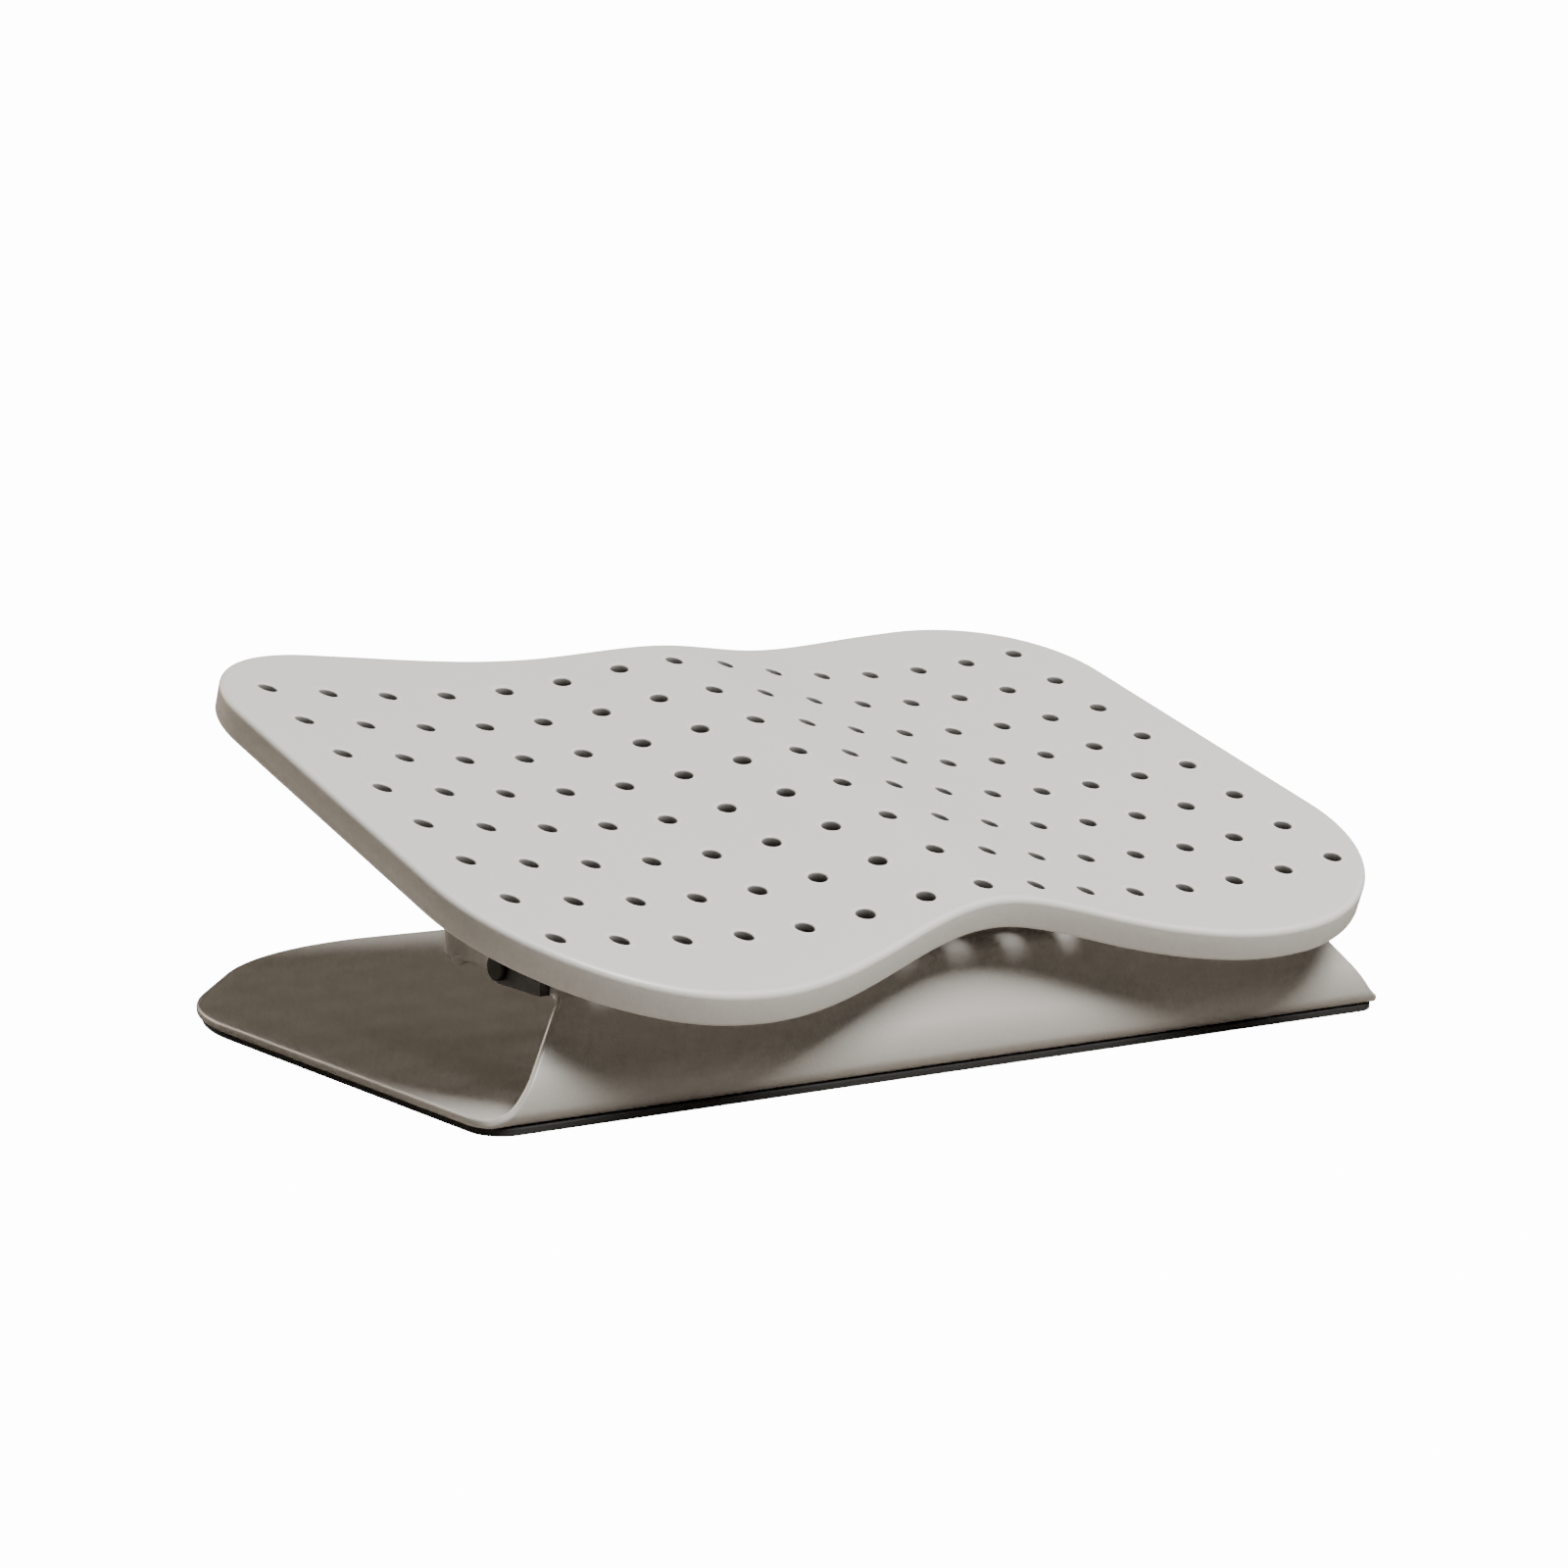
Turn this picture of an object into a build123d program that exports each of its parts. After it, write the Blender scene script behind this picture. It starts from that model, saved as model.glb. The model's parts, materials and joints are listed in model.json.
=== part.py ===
from build123d import *
from math import cos, floor, radians, sin, tan
import os

# Adjustable footrest: a waved, perforated foot board tilts on two friction hinges
# at the head of a bent steel base. Millimetres. X points to the sitter's right,
# Y away from the sitter and Z up. The origin is the middle of the sole, on the floor.

os.makedirs("parts", exist_ok=True)

# Base: one steel sheet, bent up at its front edge, on a rubber sole
base_width = 439.0
base_depth = 309.0
sheet = 3.4
sole_thickness = 2.8
sole_inset = 2.0
foot_bend_radius = 6.0  # outside of the bend at the floor
wall_upright = 0.8  # upright part of the wall, above that bend
wall_bow_radius = 20.0  # outside of the bend from upright into the lean
wall_lean = 31.0  # degrees back from upright
head_bend_radius = 9.0  # outside of the bend under the board
wall_foot_inset = 8.5  # from the plate's sides to the foot of the wall
wall_flare_radius = 14.0  # where the wall's side edges run out into the plate
flange_height = 45.1  # top of the flange above the floor
flange_depth = 17.5  # from the sharp corner of the head bend to the flange's rear edge
flange_inset = 39.0  # from the plate's sides to the flange's ends
front_corner_radius = 14.0
rear_corner_across = 85.0  # slanted rear corners, measured along X
rear_corner_along = 97.0  # and along Y
rear_corner_radius = 125.0
side_corner_radius = 85.0

# Foot board
board_width = 431.0
board_depth = 287.0
board_tilt = 18.0  # degrees, as it stands at rest
board_reach = 70.6  # from the pivot to the middle of the board, along the board
board_rise = 25.9  # from the pivot up to the board's mean top plane
rim_height = 12.6
rim_thickness = 3.2
rim_edge_radius = 2.6
rim_foot_radius = 1.2
skin = 3.0
rear_corner_round = 68.0
front_corner_round = 80.0
rear_dip = 23.0  # how far the rear edge curves in at the middle
rear_lobe_run = 7.5  # straight run from that curve to the rounded corner
front_notch = 28.0  # how far the front edge curves in at the middle
front_lobe_run = 5.5  # straight run from that curve to the rounded corner
foot_spacing = 216.0  # between the two foot troughs
ridge_height = 6.6  # middle ridge above the mean top plane
trough_depth = 4.4
shoulder_depth = 0.8  # halfway down from a crest to a trough
edge_height = 6.2  # at the board's two sides
hole_diameter = 7.4
collar_diameter = 10.4  # round each hole, below the skin
hole_columns = 15
hole_rows = 8
hole_pitch_x = 27.0
hole_pitch_y = 29.5
rib_thickness = 2.0
rib_depth = 9.0  # below the waved top
boss_diameter = 10.0
boss_drop = 15.0  # flat ends of the bosses below the mean top plane

# Friction hinges
pivot_setback = 12.0  # behind the flange's rear edge
pivot_lift = 2.5  # above the flange's top
pin_diameter = 6.0
pin_head_diameter = 10.0
pin_head_height = 2.4
pin_tail = 1.4  # thread that shows past the nut
bracket_thickness = 4.0
eye_radius = 6.2
leaf_thickness = 2.6
leaf_length = 46.0
leaf_margin = 0.6
leaf_screw_count = 3
leaf_screw_pitch = 14.0
leaf_screw_inset = 10.0  # from the cheek to the first screw
arm_thickness = 6.0
arm_eye_radius = 6.4
arm_bar_height = 6.5
post_setback = 37.0  # from the pivot to the arm's post
post_diameter = 12.0
peg_diameter = 7.2
peg_height = 4.5
peg_drop = 3.0  # the peg's rounded end below the bar
peg_end_radius = 3.2
pad_thickness = 3.5
pad_front_gap = 5.0  # from the pivot to the pad's front edge, along the board
pad_margin = 7.0  # around the pad's screws and post
pad_corner_radius = 5.0
bush_diameter = 8.0
washer_thickness = 0.8
spring_count = 3
spring_thickness = 0.6
spring_rise = 0.45
nut_across_flats = 10.0
nut_height = 5.0
nut_collar_height = 1.6
nut_collar_diameter = 9.0

# Fasteners, rail and stops
screw_diameter = 4.0
screw_head_diameter = 7.6
screw_head_height = 2.2
screw_head_round = 0.8
screw_socket = 2.5
screw_socket_depth = 1.3
screw_tail = 1.0  # thread that shows past a small nut
small_nut_across_flats = 7.0
small_nut_height = 3.2
insert_diameter = 5.6
insert_length = 7.0
insert_grip = 6.0  # how far a screw reaches into its insert
rail_width = 24.0
rail_lip = 7.0
rail_sheet = 1.6
rail_overlap = 14.0  # under each arm pad
stop_diameter = 10.0
stop_height = 5.0
stop_round = 1.2

# Clearances
side_gap = 0.3  # between the flange's ends and the bracket cheeks
wall_gap = 0.6  # between the bracket cheeks and the wall
running_gap = 0.03  # pin in bush, on the radius
post_screw_gap = 2.0  # between the arms' posts and the screw heads beside them
static_gap = 0.1  # screws and pins in their holes, on the radius
press_gap = 0.02  # inserts and bushes in their seats, on the radius
face_gap = 0.05  # either side of the arm, and between the disc springs
board_margin = 10.0  # the waved sheet is made this much larger, then trimmed
tall = 200.0  # longer than any cut needs to be

# Base, worked out from the side view
half_width = base_width / 2
half_depth = base_depth / 2
plate_top = sole_thickness + sheet
lean_tan = tan(radians(wall_lean))
bow_length = wall_bow_radius * tan(radians(wall_lean / 2))  # from its start to its sharp corner
wall_knee_z = sole_thickness + foot_bend_radius + wall_upright + bow_length
wall_head_y = -half_depth + (flange_height - wall_knee_z) * lean_tan
wall_foot_half = half_width - wall_foot_inset
flange_half = half_width - flange_inset
flange_under = flange_height - sheet
cheek_front_y = wall_head_y + sheet / cos(radians(wall_lean)) + wall_gap
flange_flat_y = wall_head_y + head_bend_radius * tan(radians((90 - wall_lean) / 2))
flange_rear_y = wall_head_y + flange_depth
flange_middle_y = (flange_flat_y + flange_rear_y) / 2
leaf_top = flange_height + leaf_thickness
pivot_y = flange_rear_y + pivot_setback
pivot_z = flange_height + pivot_lift

# Board planes: mean top, section across the feet, ends of the bosses, underside of the arm pads
tilt_cos = cos(radians(board_tilt))
tilt_sin = sin(radians(board_tilt))
board_half = board_width / 2
board_front = -board_depth / 2
board_rear = board_depth / 2
rear_dip_reach = board_half - rear_corner_round - rear_lobe_run  # half the width of the rear curve
front_notch_reach = board_half - front_corner_round - front_lobe_run  # and of the front curve
board_run = board_depth + 2 * board_margin
board_middle = (
    0,
    pivot_y + board_reach * tilt_cos - board_rise * tilt_sin,
    pivot_z + board_reach * tilt_sin + board_rise * tilt_cos,
)
board_top = Plane(origin=board_middle, x_dir=(1, 0, 0), z_dir=(0, -tilt_sin, tilt_cos))
board_below = board_top.offset(-tall / 2)
board_cut = Plane(origin=board_middle, x_dir=(1, 0, 0), z_dir=(0, -tilt_cos, -tilt_sin))
board_section = board_cut.offset(-board_run / 2)
boss_plane = board_top.offset(-boss_drop)
pad_under = boss_plane.offset(-pad_thickness)
rail_under = pad_under.offset(-rail_sheet)

# Hinge stack along X, from the outside in, for the right-hand side
cheek_inner = flange_half + side_gap
cheek_outer = cheek_inner + bracket_thickness
outer_washer_face = cheek_inner - washer_thickness
arm_outer = outer_washer_face - face_gap
arm_inner = arm_outer - arm_thickness
arm_middle = (arm_outer + arm_inner) / 2
inner_washer_face = arm_inner - face_gap - washer_thickness
spring_pitch = spring_thickness + spring_rise + face_gap
spring_face = inner_washer_face - spring_count * spring_pitch
nut_face = spring_face - nut_height
pin_end = nut_face - nut_collar_height - pin_tail
pin_hole_radius = pin_diameter / 2 + static_gap
screw_hole_radius = screw_diameter / 2 + static_gap
post_y = pivot_y + post_setback
peg_end_z = pivot_z - arm_bar_height / 2 - peg_drop

# Screw places: along each leaf, and under the board on the lines between its holes
leaf_columns = [cheek_inner - leaf_screw_inset - n * leaf_screw_pitch for n in range(leaf_screw_count)]
leaf_points = [(side * x, flange_middle_y) for side in (-1, 1) for x in leaf_columns]
pad_reach = arm_middle - (post_diameter + screw_head_diameter) / 2 - post_screw_gap
pad_column = (floor(pad_reach / hole_pitch_x - 0.5) + 0.5) * hole_pitch_x  # outermost line clear of the posts
rail_column = 2.5 * hole_pitch_x
rail_row = -hole_pitch_y
pad_rows = (-2 * hole_pitch_y, 0)
arm_points = [(side * pad_column, row) for side in (-1, 1) for row in pad_rows]
shared_points = [(side * pad_column, rail_row) for side in (-1, 1)]
rail_points = [(side * rail_column, rail_row) for side in (-1, 1)]
stop_points = [(side * rail_column, flange_middle_y) for side in (-1, 1)]
pad_inner_x = pad_column - pad_margin
pad_outer_x = arm_middle + pad_margin
pad_front = -board_reach + pad_front_gap
pad_rear = pad_margin
rail_length = 2 * (pad_inner_x + rail_overlap)


def save(piece, name):
    """Give a finished piece its name and write it."""
    piece.label = name
    export_step(piece, f"parts/{name}.step")


def save_pair(piece, name):
    """Write a right-hand piece and its mirrored left-hand twin."""
    save(piece, f"right_{name}")
    with BuildPart() as twin:
        mirror(piece, about=Plane.YZ)
    save(twin.part, f"left_{name}")


def pan_screw(length):
    """Machine screw with a hexagon socket, its head above the XY plane and its shank below."""
    with BuildPart() as screw:
        with BuildSketch():
            Circle(screw_head_diameter / 2)
        extrude(amount=screw_head_height)
        fillet(screw.edges().group_by(Axis.Z)[-1], screw_head_round)
        with BuildSketch():
            Circle(screw_diameter / 2)
        extrude(amount=-length)
        with BuildSketch(Plane.XY.offset(screw_head_height)):
            RegularPolygon(screw_socket / 2, 6, major_radius=False)
        extrude(amount=-screw_socket_depth, mode=Mode.SUBTRACT)
    return screw.part


def ring(face, outer_radius, bore_radius, height):
    """Flat ring on the pivot axis, from a face at that X towards +X."""
    with BuildPart() as flat_ring:
        with BuildSketch(Plane.YZ.offset(face)):
            with Locations((pivot_y, pivot_z)):
                Circle(outer_radius)
                Circle(bore_radius, mode=Mode.SUBTRACT)
        extrude(amount=height)
    return flat_ring.part


# Plan of the base: straight sides, rounded front corners, slanted and rounded rear corners
with BuildSketch() as base_plan:
    with BuildLine():
        Polyline(
            (-half_width, -half_depth),
            (half_width, -half_depth),
            (half_width, half_depth - rear_corner_along),
            (half_width - rear_corner_across, half_depth),
            (rear_corner_across - half_width, half_depth),
            (-half_width, half_depth - rear_corner_along),
            close=True,
        )
    make_face()
    fillet(base_plan.vertices().sort_by(Axis.Y)[:2], front_corner_radius)
    fillet(base_plan.vertices().sort_by(Axis.Y)[-2:], rear_corner_radius)
    fillet(base_plan.vertices().group_by(Axis.X)[0].sort_by(Axis.Y)[-1], side_corner_radius)
    fillet(base_plan.vertices().group_by(Axis.X)[-1].sort_by(Axis.Y)[-1], side_corner_radius)

# Base shell: side profile carried across the width, trimmed to the plan and to the wall's taper
with BuildPart() as base_shell:
    with BuildSketch(Plane.YZ.offset(-half_width)):
        with BuildLine():
            outside = FilletPolyline(
                (half_depth, sole_thickness),
                (-half_depth, sole_thickness),
                (-half_depth, wall_knee_z),
                (wall_head_y, flange_height),
                (flange_rear_y, flange_height),
                radius=[foot_bend_radius, wall_bow_radius, head_bend_radius],
            )
            offset(outside, amount=sheet, side=Side.RIGHT)
        make_face()
    extrude(amount=base_width)
    extrude(base_plan.sketch, amount=tall, mode=Mode.INTERSECT)
    with BuildSketch(Plane.XZ.offset(-base_depth)) as wall_trim:
        with BuildLine():
            Polyline(
                (base_width, plate_top),
                (wall_foot_half, plate_top),
                (flange_half, flange_under),
                (flange_half, tall),
                (base_width, tall),
                close=True,
            )
        make_face()
        fillet(wall_trim.vertices().group_by(Axis.Y)[0].sort_by(Axis.X)[0], wall_flare_radius)
        mirror(about=Plane.YZ)
    extrude(amount=2 * base_depth, mode=Mode.SUBTRACT)
    with BuildSketch(Plane.XY.offset(flange_under)):
        with Locations(*leaf_points):
            Circle(screw_hole_radius)
    extrude(amount=sheet, mode=Mode.SUBTRACT)
save(base_shell.part, "base_shell")

# Rubber sole under the plate
with BuildPart() as rubber_sole:
    with BuildSketch():
        add(base_plan.sketch)
        offset(amount=-sole_inset)
    extrude(amount=sole_thickness)
save(rubber_sole.part, "rubber_sole")

# Waved top of the board as seen from the front: a middle ridge, two foot troughs, raised sides
quarter = foot_spacing / 4
edge_slope = (edge_height + shoulder_depth) / (board_half - 3 * quarter)
wave_half = [
    (quarter, -shoulder_depth),
    (2 * quarter, -trough_depth),
    (3 * quarter, -shoulder_depth),
    (board_half, edge_height),
    (board_half + board_margin, edge_height + edge_slope * board_margin),
]
wave_points = [(-x, height) for x, height in reversed(wave_half)] + [(0, ridge_height)] + wave_half


def wave_band(upper, lower):
    """Section of the board between two depths below its waved top."""
    with BuildSketch(board_section) as band:
        with BuildLine():
            top = Spline(*[(x, height - upper) for x, height in wave_points])
            foot = Spline(*[(x, height - lower) for x, height in wave_points])
            Line(top @ 0, foot @ 0)
            Line(top @ 1, foot @ 1)
        make_face()
    return band.sketch


def board_outline(inset):
    """Butterfly outline of the board, drawn this far inside its edge."""
    half = board_half - inset
    rear = board_rear - inset
    front = board_front + inset
    rear_round = rear_corner_round - inset
    front_round = front_corner_round - inset
    with BuildSketch(board_below) as butterfly:
        with BuildLine():
            rear_curve = Spline(
                (0, rear - rear_dip),
                (rear_dip_reach, rear),
                tangents=((1, 0), (1, 0)),
            )
            rear_lobe = Line(rear_curve @ 1, (half - rear_round, rear))
            rear_corner = TangentArc(rear_lobe @ 1, (half, rear - rear_round), tangent=(1, 0))
            side = Line(rear_corner @ 1, (half, front + front_round))
            front_corner = TangentArc(side @ 1, (half - front_round, front), tangent=(0, -1))
            lobe = Line(front_corner @ 1, (front_notch_reach, front))
            Spline(
                lobe @ 1,
                (0, front + front_notch),
                tangents=((-1, 0), (-1, 0)),
            )
            mirror(about=Plane.YZ)
        make_face()
    return butterfly.sketch


# Under the skin: ribs between the hole columns, three cross ribs and a collar round each hole
with BuildPart() as rib_grid:
    extrude(wave_band(skin, rib_depth), amount=board_run)
    with BuildSketch(board_below):
        with GridLocations(hole_pitch_x, 1, hole_columns - 1, 1):
            Rectangle(rib_thickness, board_depth)
        with GridLocations(1, 2 * hole_pitch_y, 1, 3):
            Rectangle(board_width, rib_thickness)
        with GridLocations(hole_pitch_x, hole_pitch_y, hole_columns, hole_rows):
            Circle(collar_diameter / 2)
    extrude(amount=tall, mode=Mode.INTERSECT)

# Hollow under the skin, inside the rim, between the ribs
with BuildPart() as hollow:
    extrude(wave_band(skin, rim_height + board_margin), amount=board_run)
    extrude(board_outline(rim_thickness), amount=tall, mode=Mode.INTERSECT)
    add(rib_grid.part, mode=Mode.SUBTRACT)

# Screw bosses, from the skin down to the flat seats of the arms and the rail
with BuildPart() as bosses:
    with BuildSketch(boss_plane):
        with Locations(*arm_points, *shared_points):
            Circle(boss_diameter / 2)
    extrude(amount=tall)
    with BuildSketch(pad_under):
        with Locations(*rail_points):
            Circle(boss_diameter / 2)
    extrude(amount=tall)
    extrude(wave_band(skin / 2, tall), amount=board_run, mode=Mode.INTERSECT)

# Foot board: waved sheet trimmed to its outline, edges rounded, perforated, then hollowed
with BuildPart() as foot_board:
    extrude(wave_band(0, rim_height), amount=board_run)
    extrude(board_outline(0), amount=tall, mode=Mode.INTERSECT)
    waved_top = foot_board.faces().sort_by(SortBy.AREA)[-2:].sort_by(Axis.Z)[-1]
    fillet(waved_top.edges(), rim_edge_radius)
    waved_foot = foot_board.faces().sort_by(SortBy.AREA)[-2:].sort_by(Axis.Z)[0]
    fillet(waved_foot.edges(), rim_foot_radius)
    with BuildSketch(board_below):
        with GridLocations(hole_pitch_x, hole_pitch_y, hole_columns, hole_rows):
            Circle(hole_diameter / 2)
    extrude(amount=tall, mode=Mode.SUBTRACT)
    add(hollow.part, mode=Mode.SUBTRACT)
    add(bosses.part)
    with BuildSketch(boss_plane):
        with Locations(*arm_points, *shared_points):
            Circle(insert_diameter / 2 + press_gap)
    extrude(amount=insert_length, mode=Mode.SUBTRACT)
    with BuildSketch(pad_under):
        with Locations(*rail_points):
            Circle(insert_diameter / 2 + press_gap)
    extrude(amount=insert_length, mode=Mode.SUBTRACT)
save(foot_board.part, "foot_board")

# Hinge bracket: a leaf on the flange, and a cheek outside its end that carries the pin
with BuildPart() as hinge_bracket:
    with BuildSketch(Plane.YZ.offset(cheek_inner)):
        with Locations((pivot_y, pivot_z)):
            Circle(eye_radius)
        with Locations((cheek_front_y, leaf_top)):
            Rectangle(
                flange_rear_y - cheek_front_y,
                leaf_top - pivot_z + eye_radius,
                align=(Align.MIN, Align.MAX),
            )
        make_hull()
        with Locations((pivot_y, pivot_z)):
            Circle(pin_hole_radius, mode=Mode.SUBTRACT)
    extrude(amount=bracket_thickness)
    with BuildSketch(Plane.XY.offset(flange_height)):
        with Locations((cheek_inner, flange_middle_y)):
            Rectangle(
                leaf_length,
                flange_rear_y - flange_flat_y - 2 * leaf_margin,
                align=(Align.MAX, Align.CENTER),
            )
        with Locations(*leaf_points):
            Circle(screw_hole_radius, mode=Mode.SUBTRACT)
    extrude(amount=leaf_thickness)
save_pair(hinge_bracket.part, "hinge_bracket")

# Screws through the leaves, and their nuts under the flange
with BuildPart() as bracket_screws:
    with Locations(*[(x, y, leaf_top) for x, y in leaf_points]):
        add(pan_screw(leaf_thickness + sheet + small_nut_height + screw_tail))
save(bracket_screws.part, "bracket_screws")

with BuildPart() as bracket_nuts:
    with BuildSketch(Plane.XY.offset(flange_under)):
        with Locations(*leaf_points):
            RegularPolygon(small_nut_across_flats / 2, 6, major_radius=False)
            Circle(screw_hole_radius, mode=Mode.SUBTRACT)
    extrude(amount=-small_nut_height)
save(bracket_nuts.part, "bracket_nuts")

# Rubber stops on the flange, which meet the ribs when the board is at its steepest
with BuildPart() as tilt_stops:
    with BuildSketch(Plane.XY.offset(flange_height)):
        with Locations(*stop_points):
            Circle(stop_diameter / 2)
    extrude(amount=stop_height)
    fillet(tilt_stops.edges().group_by(Axis.Z)[-1], stop_round)
save(tilt_stops.part, "tilt_stops")

# Headed pivot pin, its threaded end towards the middle
with BuildPart() as hinge_pin:
    with BuildSketch(Plane.YZ.offset(pin_end)):
        with Locations((pivot_y, pivot_z)):
            Circle(pin_diameter / 2)
    extrude(amount=cheek_outer - pin_end)
    with BuildSketch(Plane.YZ.offset(cheek_outer)):
        with Locations((pivot_y, pivot_z)):
            Circle(pin_head_diameter / 2)
    extrude(amount=pin_head_height)
    fillet(hinge_pin.edges().group_by(Axis.X)[-1], screw_head_round)
save_pair(hinge_pin.part, "hinge_pin")

# Friction washers either side of the arm
with BuildPart() as friction_washers:
    for face in (outer_washer_face, inner_washer_face):
        add(ring(face, eye_radius, pin_hole_radius, washer_thickness))
save_pair(friction_washers.part, "friction_washers")

# Disc springs, every other one turned round
with BuildPart() as spring_washers:
    with BuildSketch(Plane((0, pivot_y, pivot_z))):
        for n in range(spring_count):
            bore_face = spring_face + n * spring_pitch + spring_rise * (n % 2)
            rim_face = spring_face + n * spring_pitch + spring_rise * ((n + 1) % 2)
            with BuildLine():
                Polyline(
                    (bore_face, pin_hole_radius),
                    (bore_face + spring_thickness, pin_hole_radius),
                    (rim_face + spring_thickness, eye_radius),
                    (rim_face, eye_radius),
                    close=True,
                )
            make_face()
    revolve(axis=Axis((0, pivot_y, pivot_z), (1, 0, 0)))
save_pair(spring_washers.part, "spring_washers")

# Lock nut with a plain collar
with BuildPart() as lock_nut:
    with BuildSketch(Plane.YZ.offset(nut_face)):
        with Locations((pivot_y, pivot_z)):
            RegularPolygon(nut_across_flats / 2, 6, major_radius=False)
    extrude(amount=nut_height)
    with BuildSketch(Plane.YZ.offset(nut_face)):
        with Locations((pivot_y, pivot_z)):
            Circle(nut_collar_diameter / 2)
    extrude(amount=-nut_collar_height)
    with BuildSketch(Plane.YZ.offset(pin_end)):
        with Locations((pivot_y, pivot_z)):
            Circle(pin_hole_radius)
    extrude(amount=tall, mode=Mode.SUBTRACT)
save_pair(lock_nut.part, "lock_nut")

# Hinge arm: eye, level bar and stepped post, up to a pad under the board
with BuildPart() as hinge_arm:
    with BuildSketch(Plane.XY.offset(peg_end_z)):
        with Locations((arm_middle, post_y)):
            Circle(peg_diameter / 2)
    extrude(amount=peg_height)
    fillet(hinge_arm.edges().group_by(Axis.Z)[0], peg_end_radius)
    with BuildSketch(Plane.YZ.offset(arm_inner)):
        with Locations((pivot_y, pivot_z)):
            Circle(arm_eye_radius)
            Rectangle(post_setback, arm_bar_height, align=(Align.MIN, Align.CENTER))
            Circle(bush_diameter / 2 + press_gap, mode=Mode.SUBTRACT)
    extrude(amount=arm_thickness)
    with BuildSketch(Plane.XY.offset(peg_end_z + peg_height)):
        with Locations((arm_middle, post_y)):
            Circle(post_diameter / 2)
    extrude(amount=tall)
    split(bisect_by=pad_under, keep=Keep.BOTTOM)
    with BuildSketch(pad_under):
        with Locations(((pad_inner_x + pad_outer_x) / 2, (pad_front + pad_rear) / 2)):
            RectangleRounded(pad_outer_x - pad_inner_x, pad_rear - pad_front, pad_corner_radius)
        with Locations(*arm_points, *shared_points):
            Circle(screw_hole_radius, mode=Mode.SUBTRACT)
    extrude(amount=pad_thickness)
save_pair(hinge_arm.part, "hinge_arm")

# Plain bearing in the arm's eye
with BuildPart() as arm_bush:
    add(ring(arm_inner, bush_diameter / 2, pin_diameter / 2 + running_gap, arm_thickness))
save_pair(arm_bush.part, "arm_bush")

# Channel that ties the two arm pads together
with BuildPart() as cross_rail:
    with BuildSketch(pad_under):
        with Locations((0, rail_row)):
            Rectangle(rail_length, rail_width)
    extrude(amount=-rail_lip)
    with BuildSketch(rail_under):
        with Locations((0, rail_row)):
            Rectangle(rail_length, rail_width - 2 * rail_sheet)
    extrude(amount=-rail_lip, mode=Mode.SUBTRACT)
    with BuildSketch(pad_under):
        with Locations(*shared_points, *rail_points):
            Circle(screw_hole_radius)
    extrude(amount=-rail_sheet, mode=Mode.SUBTRACT)
save(cross_rail.part, "cross_rail")

# Screws up into the board: two through each pad, one a side through rail and pad, two through the rail
with BuildPart(-pad_under) as arm_screws:
    with Locations(*[(x, -y) for x, y in arm_points]):
        add(pan_screw(pad_thickness + insert_grip))
save(arm_screws.part, "arm_screws")

with BuildPart(-rail_under) as rail_screws:
    with Locations(*[(x, -y) for x, y in shared_points]):
        add(pan_screw(rail_sheet + pad_thickness + insert_grip))
    with Locations(*[(x, -y) for x, y in rail_points]):
        add(pan_screw(rail_sheet + insert_grip))
save(rail_screws.part, "rail_screws")

# Threaded brass inserts in the bosses
with BuildPart() as threaded_inserts:
    with BuildSketch(boss_plane):
        with Locations(*arm_points, *shared_points):
            Circle(insert_diameter / 2)
            Circle(screw_hole_radius, mode=Mode.SUBTRACT)
    extrude(amount=insert_length)
    with BuildSketch(pad_under):
        with Locations(*rail_points):
            Circle(insert_diameter / 2)
            Circle(screw_hole_radius, mode=Mode.SUBTRACT)
    extrude(amount=insert_length)
save(threaded_inserts.part, "threaded_inserts")
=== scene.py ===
# %% [markdown]
# An adjustable foot rest: a waved, perforated board that tilts on two friction hinges at the head
# of a bent sheet base. The imported model is the fixed frame: every piece made here is in metres and
# sits exactly where the frame says. The first cell loads that frame.

# %% The frame
import json
import math

import bmesh
import bpy
import numpy as np
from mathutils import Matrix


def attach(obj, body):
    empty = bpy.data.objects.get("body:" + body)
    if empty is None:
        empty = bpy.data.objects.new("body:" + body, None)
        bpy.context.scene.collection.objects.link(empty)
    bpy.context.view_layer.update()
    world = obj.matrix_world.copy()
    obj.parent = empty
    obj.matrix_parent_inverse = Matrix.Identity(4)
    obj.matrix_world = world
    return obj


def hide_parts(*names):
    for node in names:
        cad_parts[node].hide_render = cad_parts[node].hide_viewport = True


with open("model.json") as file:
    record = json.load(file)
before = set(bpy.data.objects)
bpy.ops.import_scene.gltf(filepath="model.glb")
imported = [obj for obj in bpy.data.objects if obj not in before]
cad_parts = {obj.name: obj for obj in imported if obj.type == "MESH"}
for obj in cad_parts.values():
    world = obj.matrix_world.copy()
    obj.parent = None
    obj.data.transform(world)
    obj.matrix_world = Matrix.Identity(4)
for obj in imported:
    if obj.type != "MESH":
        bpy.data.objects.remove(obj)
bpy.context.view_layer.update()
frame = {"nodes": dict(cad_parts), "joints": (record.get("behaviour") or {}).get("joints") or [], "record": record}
nodes = frame["nodes"]

# %% [markdown]
# The camera stands in front and to the left of the foot rest, a little above it, with a short
# telephoto lens. It could be aimed with a Track To constraint, but a camera that is very slightly
# rolled is easier to describe by its three axes, so the matrix is built from them.

# %% Camera
AIM = np.array([-0.0101, -0.0402, 0.0924])
TURN = math.radians(38.21)
LOOK_DOWN = math.radians(7.72)
ROLL = math.radians(1.81)
STAND_OFF = 1.293
LENS = 75.9
SENSOR = 36.0


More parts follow.
